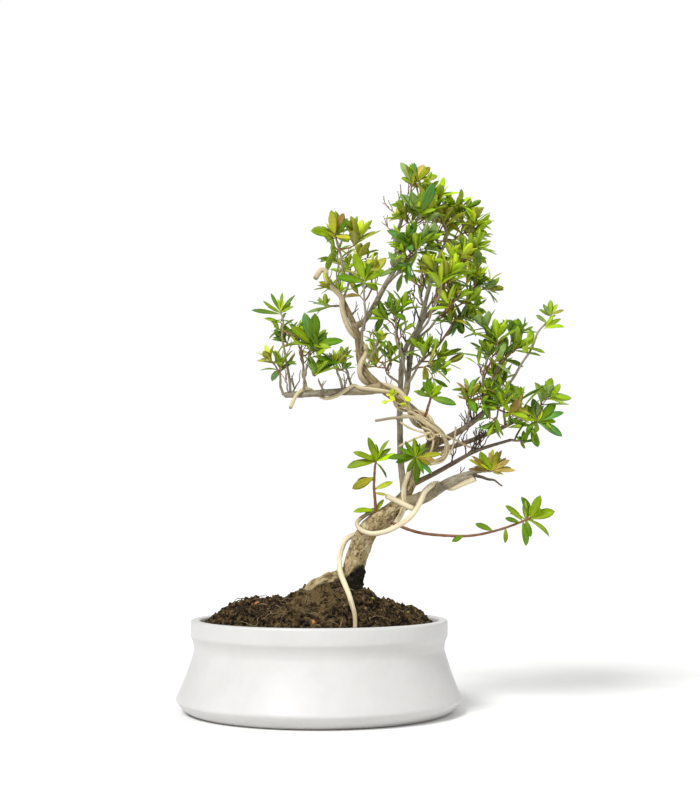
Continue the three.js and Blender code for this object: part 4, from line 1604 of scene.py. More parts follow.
# Tips that bear rosettes in the photograph: place, facing in degrees clockwise from upright, and tint
TIPS: dict[str, tuple[tuple[float, float, float, float, Tint], ...]] = {
    "left_tip": ((-27, -16, 237, -12, MID), (-34, -20, 240, -40, OLIVE)),
    "left_high": ((-28, -6, 276, -8, MID), (-15, -12, 259, -20, DEEP), (-25, 2, 257, -40, DEEP)),
    "left_mid": ((-4, -40, 248, 8, DEEP), (-2, -36, 228, 18, DEEP)),
    "left_low": ((11, -28, 238, 10, OLIVE), (16, -24, 233, 35, DEEP)),
    "leader_tip": ((9, -14, 292, -65, OLIVE), (13, -10, 288, 10, MID)),
    "leader_top": ((10.4, -4, 333, -8, OLIVE), (26, -2, 327, 14, OLIVE)),
    "leader_mid": ((31, -36, 292, 2, MID), (36, -24, 299, -15, OLIVE)),
    "crown_tip": ((66, 6, 371, 0, OLIVE), (73, 14, 362, 24, MID)),
    "crown_high": ((70, -12, 345, -12, ASHEN), (76, -4, 348, 16, MID), (59, -6, 343, -55, OLIVE)),
    "crown_upper": ((88, 4, 343, 8, OLIVE), (95, 10, 353, 25, MID), (84, 8, 357, -4, MID)),
    "crown_right": ((108, 12, 343, 12, OLIVE), (109, 8, 334, 55, MID), (102, 14, 350, -20, FRESH)),
    "crown_right_low": ((92, -28, 311, 0, FRESH), (109, -22, 319, 62, MID), (99, -30, 311, 40, OLIVE)),
    "crown_mid_left": (
        (67, -36, 314, -5, DEEP), (62, -30, 306, -150, BLUISH), (72, -30, 320, 60, ASHEN),
        (60, -28, 320, -70, MID),
    ),
    "crown_centre": ((83, -40, 290, -6, FRESH), (91, -36, 298, 20, FRESH), (78, -34, 300, -30, OLIVE)),
    "crown_far_right": ((112, 6, 296, 15, BLUISH), (120, 10, 295, 85, ASHEN), (106, 2, 304, 40, FRESH)),
    "crown_low_right": ((95, -26, 285, 10, OLIVE), (104, -22, 281, 55, MID), (88, -30, 278, -35, FRESH)),
    "crown_low_left": ((52, -30, 272, 5, DEEP), (45, -26, 268, -60, DEEP), (58, -22, 277, 30, MID)),
    "crown_low": ((97, -14, 272, 170, BLUISH), (104, -12, 273, 60, FRESH), (90, -18, 268, -40, DEEP)),
    "right_upper": ((117, -24, 244, -10, DEEP), (114, -20, 262, -25, ASHEN), (122, -28, 254, 5, MID)),
    "right_upper_outer": ((131, 2, 248, 4, BLUISH), (139, -2, 251, 55, MID), (137, 6, 260, 15, DEEP)),
    "right_outer": (
        (151.8, -8, 198.5, 40, FRESH), (156.4, -2, 214, 30, ASHEN), (139, -12, 210, -20, MID),
        (145, -4, 203, -60, DEEP),
    ),
    "right_mid": ((124, -42, 206, -15, DEEP), (118, -40, 195, -160, DEEP), (131, -36, 202, 70, BRONZE)),
    "right_inner": ((105, -22, 215, 10, BRONZE), (114, -26, 210, 150, DEEP), (117, -20, 213, 20, DEEP)),
    "centre_high": ((73, -16, 245, -5, MID), (84, -12, 243, 35, DEEP), (76, -20, 236, 80, OLIVE)),
}


@dataclass(frozen=True)
class Mass:
    """One mass of foliage: the limb that bears it and where, its middle and reach, and its rosettes."""

    name: str
    limb: str
    at: float
    centre: Point
    reach: Point
    rosettes: int
    leaf: float
    tone: Tone = MIXED
    sprays: int = 1
    middle: Point | None = None
    lift: Pair = (0.65, 1.1)
    breadth: float = 1.0

    def share_of_reach(self, place: Array) -> float:
        """How far a place is from the middle, where 1 is the mass's reach."""
        return float(np.linalg.norm((place - np.array(self.centre)) / np.array(self.reach)))

    def stem(self) -> Bend:
        """The mass's stem, which leaves its limb squarely or goes on from the limb's tip.

        Returns:
            The stem's curve.
        """
        limb = LIMBS[self.limb]
        tip = np.array(TIPS[self.name][0][:3] if self.name in TIPS else self.centre, float)
        origin = limb.point(self.at)
        if self.middle:
            return Bend(origin, np.array(self.middle, float), tip)
        heading = limb.direction(self.at)
        aim = tip - origin
        leave = heading if self.at == 1 else unit(aim - (aim @ heading) * heading)
        return Bend(origin, (origin + tip) / 2 + leave * 0.16 * np.linalg.norm(aim), tip)

    def twig_lines(self, stem: Bend, draw: Seeded) -> list[Bend]:
        """The twigs that bear the rosettes, or the stem alone where there is one rosette.

        Args:
            stem: The mass's stem.
            draw: The source's run of numbers.

        Returns:
            The twigs' curves.
        """
        if self.rosettes == 1:
            return [stem]
        made = []
        for i in range(self.rosettes):
            turn = i * GOLDEN_ANGLE + FULL_TURN * draw.draw()
            out = 0.42 + 0.12 * draw.draw()
            rise = 0.16 + 0.2 * draw.draw() - (i % 2) * 0.3
            spread = np.array([out * math.cos(turn), out * math.sin(turn), rise])
            tip = np.array(self.centre) + np.array(self.reach) * spread
            start = stem.point(0.92 - 0.15 * i)
            middle = mix(start, tip, 0.6) - 0.12 * self.reach[2] * UPWARD
            made.append(Bend(start, middle, tip))
        return made


MASSES: tuple[Mass, ...] = (
    Mass("left_tip", "left_bough", 1, (-33, -16, 236), (18, 18, 16), 2, 17),
    Mass("left_high", "left_bough", 0.93, (-26, -4, 268), (22, 20, 20), 3, 17, breadth=0.66),
    Mass("left_mid", "left_bough", 0.8, (-4, -38, 247), (21, 20, 22), 3, 20),
    Mass("left_low", "left_bough", 0.5, (3, -30, 230), (13, 13, 10), 1, 12),
    Mass("left_inner", "left_bough", 0.4, (16, -8, 240), (15, 15, 15), 1, 15, SHADE),
    Mass("left_rear", "left_bough", 0.78, (-15, 26, 254), (22, 20, 22), 3, 19),
    Mass("leader_tip", "leader", 1, (1, -12, 301), (16, 16, 14), 2, 16, SUNLIT),
    Mass("leader_left", "leader", 0.86, (3, 4, 282), (20, 18, 14), 1, 13, breadth=0.55),
    Mass("leader_top", "leader", 0.95, (17, -2, 324), (27, 24, 24), 3, 25, SUNLIT),
    Mass("leader_mid", "leader", 0.66, (31, -36, 294), (20, 18, 18), 3, 22, SUNLIT),
    Mass("leader_rear", "leader", 0.88, (21, 36, 316), (24, 20, 24), 3, 19),
    Mass("leader_side", "leader", 0.58, (41, -24, 253), (15, 14, 14), 1, 13, SHADE),
    Mass("crown_tip", "upright_left", 1, (65, 8, 370), (20, 20, 20), 2, 23, SUNLIT, lift=(0.42, 0.62)),
    Mass("crown_high", "upright_left", 0.62, (70, -10, 344), (19, 17, 17), 2, 21, SHADE, 2),
    Mass("crown_upper", "upright_rear", 1, (93, 6, 350), (18, 17, 20), 2, 21, MIXED, 2),
    Mass("crown_right", "upright_rear", 0.96, (114, 12, 346), (19, 18, 18), 2, 21, SUNLIT, 2),
    Mass("crown_right_low", "upright_mid", 0.62, (107, -26, 323), (19, 18, 16), 3, 18, MIXED, 2),
    Mass("crown_mid_left", "upright_left", 0.38, (68, -34, 314), (20, 18, 18), 3, 21, SHADE, 2),
    Mass("crown_centre", "upright_mid", 0.52, (90, -38, 305), (18, 18, 17), 3, 21, MIXED, 2),
    Mass("crown_far_right", "upright_mid", 1, (114, 8, 302), (18, 18, 16), 2, 18, SUNLIT, 2),
    Mass("crown_low_right", "upright_mid", 0.58, (104, -26, 284), (22, 18, 15), 3, 19, MIXED, 2),
    Mass("crown_low_left", "upright_mid", 0.3, (55, -30, 273), (18, 17, 18), 2, 18, SHADE, 2),
    Mass("crown_low", "upright_mid", 0.42, (98, -14, 261), (18, 17, 16), 2, 18, SHADE, 2),
    Mass("crown_rear_high", "upright_rear", 0.92, (86, 45, 348), (24, 20, 22), 3, 19, SUNLIT),
    Mass("crown_rear_low", "upright_rear", 0.76, (74, 52, 313), (26, 20, 22), 3, 19),
    Mass("crown_rear_right", "upright_rear", 0.82, (112, 46, 322), (22, 20, 22), 3, 19),
    Mass("right_upper", "right_high_branch", 0.66, (117, -24, 248), (19, 18, 18), 2, 22, GREYISH),
    Mass("right_upper_outer", "right_high_branch", 0.74, (139, 2, 250), (19, 18, 18), 3, 20, GREYISH),
    Mass("right_shoot", "right_high_branch", 1, (164, 2, 275), (16, 16, 18), 1, 16, SUNLIT),
    Mass("right_outer", "right_outer_branch", 1, (152, -6, 206), (22, 20, 22), 3, 22, GREYISH),
    Mass("right_mid", "right_high_branch", 0.72, (123, -42, 206), (18, 17, 16), 2, 18, GREYISH, 2),
    Mass("right_inner", "right_high_branch", 0.42, (103, -22, 216), (18, 16, 15), 2, 18, SHADE, 2),
    Mass("right_rear", "right_outer_branch", 0.84, (140, 40, 228), (24, 20, 24), 3, 19),
    Mass("right_low", "right_low_branch", 1, (144, 4, 184), (14, 14, 11), 1, 13, GREYISH),
    Mass("right_bough_tip", "right_bough", 1, (119, -16, 163.5), (19, 17, 15), 2, 16, DRY, breadth=0.8),
    Mass("centre_high", "upright_mid", 0.3, (78, -14, 236), (21, 18, 17), 3, 21, MIXED, 2),
    Mass("centre_mid", "leader", 0.16, (75, -44, 212), (19, 16, 16), 2, 18, VIVID),
    Mass("centre_low", "trunk", 0.85, (65.5, -26, 172.5), (19, 17, 16), 2, 17, SHADE, breadth=0.8),
    Mass("front_shoot", "trunk", 0.45, (39, -14, 170.5), (22, 19, 30), 1, 19, VIVID),
    Mass(
        "long_shoot", "trunk", 0.47, (145, -14, 131.5), (44, 18, 20), 1, 17, VIVID,
        middle=(90, -10, 107), breadth=1.15,
    ),
    Mass("rear_middle", "upright_rear", 0.46, (45, 43, 247), (24, 20, 22), 3, 19),
)

# Leaves shown one by one: share along the stem, degrees clockwise from upright, length and tint
SHOWN_LEAVES: dict[str, tuple[tuple[float, float, float, Tint], ...]] = {
    "front_shoot": (
        (0.98, -97, 21.6, MID), (0.97, 138, 14.5, DEEP), (0.99, -65, 18, MID), (0.99, 72, 16.5, FRESH),
        (1.0, -19, 18.2, MID), (1.0, 28, 18, MID), (1.0, 5, 8, FRESH), (1.0, -45, 7, FRESH),
        (0.68, -117, 18, OLIVE), (0.64, -92, 13, BRONZE), (0.47, 66, 15, YOUNG), (0.42, 100, 9, OLIVE),
        (0.16, -88, 17, MID), (0.2, -120, 9, DEEP), (0.14, 32, 11, FRESH),
    ),
    "long_shoot": (
        (0.57, -118, 10, DEEP), (0.76, -66, 13.7, DEEP), (0.84, 180, 11.5, MID), (0.93, -74, 12, DEEP),
        (0.95, -45, 16.5, MID), (0.97, 168, 13, DEEP), (0.98, 122, 20, MID), (0.95, 170, 18, DEEP),
        (0.99, 74, 19, MID), (1.0, -20, 16.5, DEEP), (1.0, 21, 18, MID), (1.0, 48, 10, FRESH),
        (1.0, 0, 9, FRESH),
    ),
    "right_shoot": (
        (0.98, -36, 11, ASHEN), (1.0, 27, 10, FRESH), (1.0, 67, 10, OLIVE), (1.0, 5, 7, FRESH),
        (0.86, -55, 11, ASHEN), (0.8, 61, 14, MID), (0.78, 82, 15, FRESH), (0.82, 38, 10, FRESH),
    ),
    "centre_mid": (
        (0.97, -67, 11.5, DEEP), (1.0, -27, 12.5, DEEP), (1.0, -3, 9, FRESH), (1.0, 46, 11.5, MID),
        (0.99, 61, 9, MID), (0.95, 107, 19, DEEP), (1.0, 15, 6, YOUNG), (1.0, -10, 14, DEEP),
    ),
    "centre_low": (
        (0.95, -88, 20, DEEP), (0.97, -104, 15, DEEP), (1.0, -36, 14, DEEP), (1.0, -4, 14.5, MID),
        (1.0, 20, 11, DEEP), (0.97, 83, 19, OLIVE), (0.95, 100, 15, BRONZE), (0.98, -62, 14, DEEP),
        (0.9, 178, 20, DEEP), (0.92, 135, 17, BLUISH), (0.96, -20, 10, MID), (1.0, 10, 8, FRESH),
        (0.97, 155, 14, DEEP), (0.95, 115, 13, OLIVE), (0.93, -150, 13, DEEP), (0.97, 48, 11, DEEP),
    ),
    "right_bough_tip": (
        (0.98, -50, 14.5, OLIVE), (1.0, -34, 17, MID), (1.0, -7, 14, WITHERED), (1.0, 12, 15, OLIVE),
        (1.0, 45, 13.5, BRONZE), (0.97, 88, 17, WITHERED), (0.97, 76, 14, OLIVE), (1.0, -20, 9, GOLD),
        (1.0, 20, 9, GOLD), (1.0, 55, 9, YOUNG), (0.98, -62, 10, YOUNG), (0.95, 105, 9, WITHERED),
        (0.6, -40, 16, BRONZE), (0.6, 15, 17, GOLD), (0.7, 62, 17, WITHERED), (0.5, -15, 16, MID),
        (0.8, -75, 12, WITHERED), (0.8, 30, 17, BRONZE), (0.7, -58, 17, OLIVE), (0.5, -80, 13, BRONZE),
    ),
    "right_low": ((0.8, 80, 10, BLUISH), (1.0, 15, 8, MID), (1.0, -40, 7, DEEP), (0.6, 150, 7, MID)),
    "crown_tip": (
        (1.0, -25, 20.5, ASHEN), (1.0, -12, 17, OLIVE), (1.0, 6, 17.5, BLUISH), (1.0, 25, 20, WITHERED),
        (0.97, 62, 14, DEEP), (1.0, 12, 9, YOUNG), (0.97, -55, 9, MID),
    ),
    "crown_high": (
        (1.0, 28, 24, BLUISH), (1.0, -42, 21, ASHEN), (1.0, -22, 18, ASHEN), (1.0, -5, 9, YOUNG),
        (1.0, 43, 20, OLIVE), (0.97, -75, 13, DEEP), (0.97, 75, 13, MID), (1.0, 8, 8, FRESH),
        (1.0, 5, 17, MID),
    ),
    "leader_top": (
        (1.0, -10, 17, OLIVE), (1.0, 24, 16.5, BRONZE), (0.93, -82, 20, MID), (0.96, -42, 10, OLIVE),
        (0.9, -112, 9, ASHEN), (0.94, 38, 15, DEEP), (1.0, 5, 9, YOUNG), (0.9, 95, 11, MID),
        (0.88, -60, 10, OLIVE), (0.96, 62, 12, MID),
    ),
    "right_outer": (
        (1.0, 68, 21, BLUISH), (1.0, 45, 20, DEEP), (0.97, 120, 21, BLUISH), (0.97, -78, 14, MID),
        (1.0, -12, 17, ASHEN), (1.0, 20, 9, YOUNG), (1.0, 0, 14, ASHEN), (0.95, -130, 12, DEEP),
        (0.98, 90, 14, MID), (1.0, -35, 16, MID),
    ),
    "left_mid": (
        (1.0, -16, 23, BLUISH), (1.0, 5, 22, DEEP), (1.0, -2, 15, ASHEN), (0.98, 82, 22, DEEP),
        (0.98, -50, 20, MID), (0.97, -82, 15, MID), (1.0, 15, 9, YOUNG), (1.0, -5, 8, FRESH),
        (0.97, 100, 14, MID), (0.98, 50, 14, DEEP), (1.0, -30, 17, MID),
    ),
    "left_high": (
        (1.0, 6, 14, MID), (1.0, -28, 16, DEEP), (0.97, -55, 16, MID), (0.95, -80, 22, DEEP),
        (1.0, 42, 16, DEEP), (0.98, 64, 11, MID), (1.0, 20, 9, YOUNG), (1.0, -10, 10, FRESH),
        (0.86, -104, 9, DEEP), (0.86, 106, 9, DEEP), (0.72, -95, 8, DEEP), (0.7, 84, 8, DEEP),
    ),
    "leader_left": (
        (0.5, -80, 16, ASHEN), (0.6, -104, 19, ASHEN), (1.0, -70, 13, DEEP), (0.9, -125, 10, MID),
        (1.0, -35, 9, MID),
    ),
    "leader_mid": (
        (1.0, -22, 21, MID), (1.0, 41, 23, OLIVE), (0.98, -80, 21, DEEP), (0.97, -70, 16, DEEP),
        (0.97, 98, 13, MID), (1.0, 8, 8, YOUNG), (1.0, 18, 14, DEEP), (1.0, 62, 16, MID),
        (0.96, -110, 9, DEEP),
    ),
}

# Where small yellow leaves grow at the bend
LEAFLETS: tuple[Point, ...] = (
    (46.9, -26, 210.7), (49, -26, 214.2), (53.8, -26, 216.9), (51.7, -26, 212.1), (57.2, -26, 213.5),
    (55.1, -26, 208.7),
)


@dataclass
class Leaves:
    """Leaves in the making, by tint, each with its root, heading, up side and sizes.

    The section gives, round a ring, the place to the side, the fold's lift, the swell, how far the place
    is an edge, and whether it is the midrib below.
    """

    rows: dict[Tint, list[Array]] = field(default_factory=dict)
    nodes: dict[Tint, set[str]] = field(default_factory=dict)
    stations: tuple[float, ...] = (0.0, 0.07, 0.2, 0.37, 0.56, 0.75, 0.9, 1.0)
    width: float = 0.165
    section: tuple[tuple[float, ...], ...] = (
        (0, 0.52, 1, 0, -1, -0.52), (0, 0.5, 0.92, 0, 0.92, 0.5), (0, 0.1, 0, 0, 0, 0.1),
        (0, 0.3, 1, 0, -1, -0.3), (0, 0, 0, 1, 0, 0),
    )

    def add(
        self, tint: Tint, node: str, root: Array, heading: Array, up: Array, sizes: tuple[float, ...]
    ) -> None:
        """Keeps one leaf; its sizes are length, width share, fold, droop, wave and lightness."""
        self.rows.setdefault(tint, []).append(np.concatenate([root, heading, up, sizes]))
        self.nodes.setdefault(tint, set()).add(f"{node}_foliage")

    def surface(self, tint: Tint) -> Surface:
        """Closes each leaf of a tint as a thin skin of eight rings of six points.

        Half its width goes as the place along it to the power 1.1 times the rest to the power 0.75, so that
        it is widest past the middle and pointed at both ends. Its halves rise from the midrib, its length
        bends down with the square of the place, its edges wave, and a midrib stands out below.

        Args:
            tint: Which leaves.

        Returns:
            The leaves with their foot, edge, rib, back and lightness masks.
        """
        leaf = np.array(self.rows[tint])
        root, heading, up = (leaf[:, None, None, 3 * k : 3 * k + 3] for k in range(3))
        length, wide, fold, droop, wave, shade = (leaf[:, 9 + k, None, None] for k in range(6))
        place = np.array(self.stations)
        outline = place**1.1 * (1 - place) ** 0.75
        outline = np.maximum(outline / outline.max(), np.where(place < 0.5, 0.07, 0.03))
        half = (wide * self.width * length) * outline[None, :, None]
        side, lifted, swell, edge, below = np.array(self.section)[:, None, None]
        along = place[None, :, None]
        ripple = np.sin(FULL_TURN * (1.6 * along + 7 * shade)) * wave * edge
        rise = half * (fold * lifted + swell + ripple) - below * (0.012 * length + 0.1)
        rise = rise - droop * length * along**2
        reach = length * along * (1 - 0.35 * np.abs(droop) * along)
        flank = np.cross(heading, up)
        rings = root + reach[..., None] * heading + (half * side)[..., None] * flank + rise[..., None] * up
        shape = rings.shape[:3]
        own = np.clip(np.modf(7.31 * shade)[0] * 1.8 - 0.9, 0, 1)
        masks = {
            "foot": (1 - along) ** 2, "edge": own * np.maximum(np.abs(edge), along**5), "under": below,
            "rib": np.array([1.0, 0, 0, 1, 0, 0]), "shade": shade,
        }
        return skins(rings, {name: np.broadcast_to(values, shape) for name, values in masks.items()})


@dataclass
class TwigStore:
    """Twigs of one kind in the making, each with its three points and its two radii."""

    rows: list[Array] = field(default_factory=list)

    def add(self, line: Bend, first: float, last: float) -> None:
        """Keeps one twig with its radius at start and tip."""
        self.rows.append(np.concatenate([line.start, line.middle, line.end, [first, last]]))

    def surface(self, rows: int, columns: int, crook: float, seed: int) -> Surface:
        """All twigs kept, as one surface."""
        kept = np.array(self.rows)
        return twigs(kept[:, :3], kept[:, 3:6], kept[:, 6:9], kept[:, 9:], rows, columns, crook, seed)


# The tint that the youngest leaves of a spray take
LIGHTER = {
    DEEP: MID, MID: FRESH, FRESH: YOUNG, YOUNG: YOUNG, OLIVE: YOUNG, BRONZE: OLIVE, ASHEN: MID,
    BLUISH: DEEP, WITHERED: OLIVE, GOLD: GOLD,
}


@dataclass(frozen=True)
class Growth:
    """A mass as it grows, with the source's run of numbers and the run of its finer growth."""

    mass: Mass
    draw: Seeded
    rng: Rng

    def spray_tint(self) -> Tint:
        """Deals a spray its tint, by the mass's tone.

        Returns:
            The tint.
        """
        tints = [tint for tint, _ in self.mass.tone.value]
        odds = np.array([share for _, share in self.mass.tone.value])
        return tints[int(self.rng.choice(len(tints), p=odds / odds.sum()))]

    def placed(self, stem: Bend) -> list[Spray]:
        """Twigs to the places where the photograph shows rosettes; the stem itself bears the first.

        Args:
            stem: The mass's stem.

        Returns:
            Each twig with the way that its rosette faces, and the rosette's colour.
        """
        made = []
        for k, (x, y, z, clock, tint) in enumerate(TIPS[self.mass.name]):
            angle = math.radians(clock)
            axis = unit(np.array([math.sin(angle), self.rng.uniform(-0.4, 0.1), math.cos(angle)]))
            start = stem.point(0.9 - 0.2 * k)
            tip = np.array([x, y, z], float)
            middle = tip - axis * 0.4 * np.linalg.norm(tip - start)
            made.append((Bend(start, middle, tip) if k else stem, axis, tint))
        return made

    def dealt(self, stem: Bend) -> list[Spray]:
        """The source's own twigs, with rosettes turned up to the light, in colours by the mass's tone."""
        lines = self.mass.twig_lines(stem, self.draw)
        return [(line, unit(line.direction(1) + 0.5 * UPWARD), self.spray_tint()) for line in lines]


@dataclass
class Foliage:
    """The masses: stems and twigs by the source's rule, then finer twigs, leaves, buds and bare spurs."""

    seed: int = 700
    seed_step: int = 31
    stem_radius: Pair = (1.0, 0.62)
    twig_radius: Pair = (0.64, 0.46)
    fine_radius: Pair = (0.44, 0.32)
    shoot_radius: Pair = (1.15, 0.75)
    pale_limbs: tuple[str, ...] = ("left_bough", "leader", "upright_left")
    space: float = 1.8
    base_leaves: int = 5
    more_leaves: int = 3
    bud_leaves: int = 2
    hidden_leaves: int = 4
    leaf_share: float = 0.94
    side_odds: float = 0.85
    light_pull: float = 0.3
    leaves: Leaves = field(default_factory=Leaves)
    stems: TwigStore = field(default_factory=TwigStore)
    branchlets: TwigStore = field(default_factory=TwigStore)
    fine: TwigStore = field(default_factory=TwigStore)
    spurs: TwigStore = field(default_factory=TwigStore)
    pale_spurs: TwigStore = field(default_factory=TwigStore)
    shoots: TwigStore = field(default_factory=TwigStore)

    def leaf(
        self, grown: Growth, tint: Tint, root: Array, axis: Array, turn: float, tilt: float, length: float
    ) -> None:
        """Adds a leaf that leans out from a twig, if its tip keeps to the mass's space.

        Args:
            grown: The mass that it belongs to.
            tint: Its colour.
            root: Where it grows from.
            axis: The twig's direction there.
            turn: The angle round the twig.
            tilt: The angle off the twig.
            length: Its length.
        """
        rng = grown.rng
        facing = np.array([1.0, 0, 0]) if abs(axis[2]) > 0.9 else UPWARD
        radial = spoke(axis, facing, turn)
        heading = axis * math.cos(tilt) + radial * math.sin(tilt)
        up = axis * math.sin(tilt) - radial * math.cos(tilt)
        up = across(heading, mix(up, np.array([0.0, -0.1, 1.0]), self.light_pull))[0]
        foot = root - 0.4 * heading
        if grown.mass.share_of_reach(foot + length * heading) > self.space:
            return
        wide = rng.uniform(0.82, 1.18)
        fold = rng.uniform(0.1, 0.42)
        droop = rng.uniform(-0.04, 0.2) * (0.4 + tilt / 1.6)
        sizes = (length, wide, fold, droop, rng.uniform(0, 0.12), rng.uniform(0, 1))
        self.leaves.add(tint, grown.mass.name, foot, heading, up, sizes)

    def facing_leaf(self, grown: Growth, tint: Tint, root: Array, clock: float, length: float) -> None:
        """Adds a leaf that shows its face to the front.

        Args:
            grown: The mass that it belongs to.
            tint: Its colour.
            root: Where it grows from.
            clock: The tip's angle in degrees, clockwise from upright.
            length: Its length.
        """
        rng = grown.rng
        angle = math.radians(clock)
        heading = unit(np.array([math.sin(angle), rng.uniform(-0.45, 0.15), math.cos(angle)]))
        up = across(heading, np.array([0.1, -0.85, 0.5]) + rng.normal(0, 0.3, 3))[0]
        wide = grown.mass.breadth * rng.uniform(0.75, 1.1)
        ranges = ((0.15, 0.5), (0, 0.16), (0, 0.1), (0.05, 0.75))
        sizes = (length, wide, *(rng.uniform(*span) for span in ranges))
        self.leaves.add(tint, grown.mass.name, root - 0.4 * heading, heading, up, sizes)

    def rosette(self, grown: Growth, twig: Bend, axis: Array, tint: Tint) -> None:
        """Grows the source's leaves at a twig's end, then more between them and a few upright young ones.

        Args:
            grown: The mass that it belongs to.
            twig: The twig that bears it.
            axis: The way that the rosette faces.
            tint: Its leaves' colour.
        """
        mass = grown.mass
        draw = grown.draw
        rng = grown.rng
        lift = rng.uniform(*mass.lift)
        run = min(0.4, 5 / max(twig.length(), 1e-6))
        start = FULL_TURN * draw.draw()
        for k in range(self.base_leaves):
            rank = k / (self.base_leaves - 1)
            tilt = mix(1.3, 0.4, rank) + 0.2 * (draw.draw() - 0.5)
            length = self.leaf_share * mass.leaf * mix(1.05, 0.75, rank) * (0.9 + 0.2 * draw.draw())
            shown = LIGHTER[tint] if rank > 0.7 else tint
            root = twig.point(mix(1 - run, 0.98, rank))
            self.leaf(grown, shown, root, axis, start + k * GOLDEN_ANGLE, tilt * lift, length)
        for k in range(self.more_leaves):
            turn = start + (self.base_leaves + k) * GOLDEN_ANGLE
            length = mass.leaf * rng.uniform(0.62, 0.92)
            shown = LIGHTER[tint] if k == 1 else tint
            self.leaf(grown, shown, twig.point(0.97), axis, turn, rng.uniform(0.75, 1.25) * lift, length)
        for k in range(self.bud_leaves):
            turn = start + (k + 0.5) * GOLDEN_ANGLE
            length = mass.leaf * rng.uniform(0.28, 0.5)
            bud = YOUNG if mass.tone is not DRY else BRONZE
            self.leaf(grown, bud, twig.point(1.0), axis, turn, rng.uniform(0.15, 0.45), length)

    def side_spray(self, grown: Growth, parent: Bend, share: float) -> None:
        """Grows a finer twig from a twig's side, with a small whorl of leaves at its end.

        Args:
            grown: The mass that it belongs to.
            parent: The twig that it leaves.
            share: Where along that twig.
        """
        mass = grown.mass
        rng = grown.rng
        heading = parent.direction(share)
        out = spoke(heading, np.array([0.0, 0.2, 1.0]), rng.uniform(0, FULL_TURN))
        aim = unit(heading * rng.uniform(0.3, 0.9) + out + 0.35 * UPWARD)
        length = mass.leaf * rng.uniform(0.32, 0.7)
        start = parent.point(share)
        tip = start + aim * length
        if mass.share_of_reach(tip) > 1.0:
            return
        line = Bend(start, start + (heading + aim) * 0.25 * length, tip)
        self.fine.add(line, *self.fine_radius)
        tint = grown.spray_tint()
        axis = unit(line.direction(1) + 0.4 * UPWARD)
        first = rng.uniform(0, FULL_TURN)
        count = int(rng.integers(3, 6))
        for k in range(count):
            rank = k / (count - 1)
            size = mass.leaf * mix(0.86, 0.5, rank) * rng.uniform(0.85, 1.1)
            shown = LIGHTER[tint] if rank > 0.75 else tint
            root = line.point(mix(0.72, 1.0, rank))
            self.leaf(grown, shown, root, axis, first + k * GOLDEN_ANGLE, mix(1.35, 0.35, rank), size)

    def bare_spur(
        self, store: TwigStore, start: Array, heading: Array, length: float, rng: Rng,
        lean: Pair = (0.5, 2.0),
    ) -> None:
        """Grows a thin bare twig that slants along its limb and upward, with shorter ones from its side.

        Args:
            store: Where the twig is kept.
            start: Where it leaves.
            heading: The limb's direction there.
            length: How long it is.
            rng: Where its numbers come from.
            lean: Least and most that it leans along the limb.
        """
        out = spoke(heading, np.array([0.0, 0.1, 1.0]), rng.normal(0, 0.6))
        aim = unit(heading * rng.uniform(*lean) + out)
        tip = start + aim * length + 0.12 * length * UPWARD
        middle = start + aim * 0.5 * length + rng.normal(0, 0.07 * length, 3)
        line = Bend(start, middle, tip)
        store.add(line, 0.3 + 0.018 * length, 0.3)
        for _ in range(int(length > 8) + int(length > 16)):
            share = rng.uniform(0.3, 0.8)
            shorter = length * rng.uniform(0.35, 0.6)
            self.bare_spur(store, line.point(share), line.direction(share), shorter, rng)

    def face_leaves(self, grown: Growth, stem: Bend) -> None:
        """Sets a stem's leaves one by one as the photograph shows them, and a few behind them.

        Args:
            grown: The mass that they belong to.
            stem: Its stem.
        """
        for share, clock, length, tint in SHOWN_LEAVES[grown.mass.name]:
            self.facing_leaf(grown, tint, stem.point(share), clock, length)
        for k in range(self.hidden_leaves):
            length = grown.mass.leaf * grown.rng.uniform(0.6, 0.85)
            tilt = grown.rng.uniform(0.4, 1.0)
            self.leaf(grown, MID, stem.point(0.97), BACKWARD, k * GOLDEN_ANGLE, tilt, length)

    def grow(self, mass: Mass, index: int) -> None:
        """Grows one mass. One whose leaves are all shown one by one bears nothing else.

        Args:
            mass: Which mass.
            index: Its place in the list, which seeds it.
        """
        seed = self.seed + self.seed_step * index
        grown = Growth(mass, Seeded(seed), np.random.default_rng(seed))
        rng = grown.rng
        stem = mass.stem()
        if mass.name in SHOWN_LEAVES and mass.name not in TIPS:
            if mass.tone is VIVID:
                self.shoots.add(stem, *self.shoot_radius)
            else:
                self.stems.add(stem, *self.stem_radius)
            self.face_leaves(grown, stem)
            return
        self.stems.add(stem, *self.stem_radius)
        sprays = grown.placed(stem) if mass.name in TIPS else grown.dealt(stem)
        for line, axis, tint in sprays:
            if line is not stem:
                self.branchlets.add(line, *self.twig_radius)
            if line is stem and mass.name in SHOWN_LEAVES:
                self.face_leaves(grown, stem)
            else:
                self.rosette(grown, line, axis, tint)
        for line, _, _ in sprays:
            for _ in range(mass.sprays):
                if rng.uniform() < self.side_odds:
                    self.side_spray(grown, line, rng.uniform(0.4, 0.9))
        for _ in range(mass.sprays):
            self.side_spray(grown, stem, rng.uniform(0.5, 0.88))
        store = self.pale_spurs if mass.limb in self.pale_limbs else self.spurs
        for _ in range(2):
            share = rng.uniform(0.25, 0.85)
            self.bare_spur(store, stem.point(share), stem.direction(share), rng.uniform(7, 15), rng)

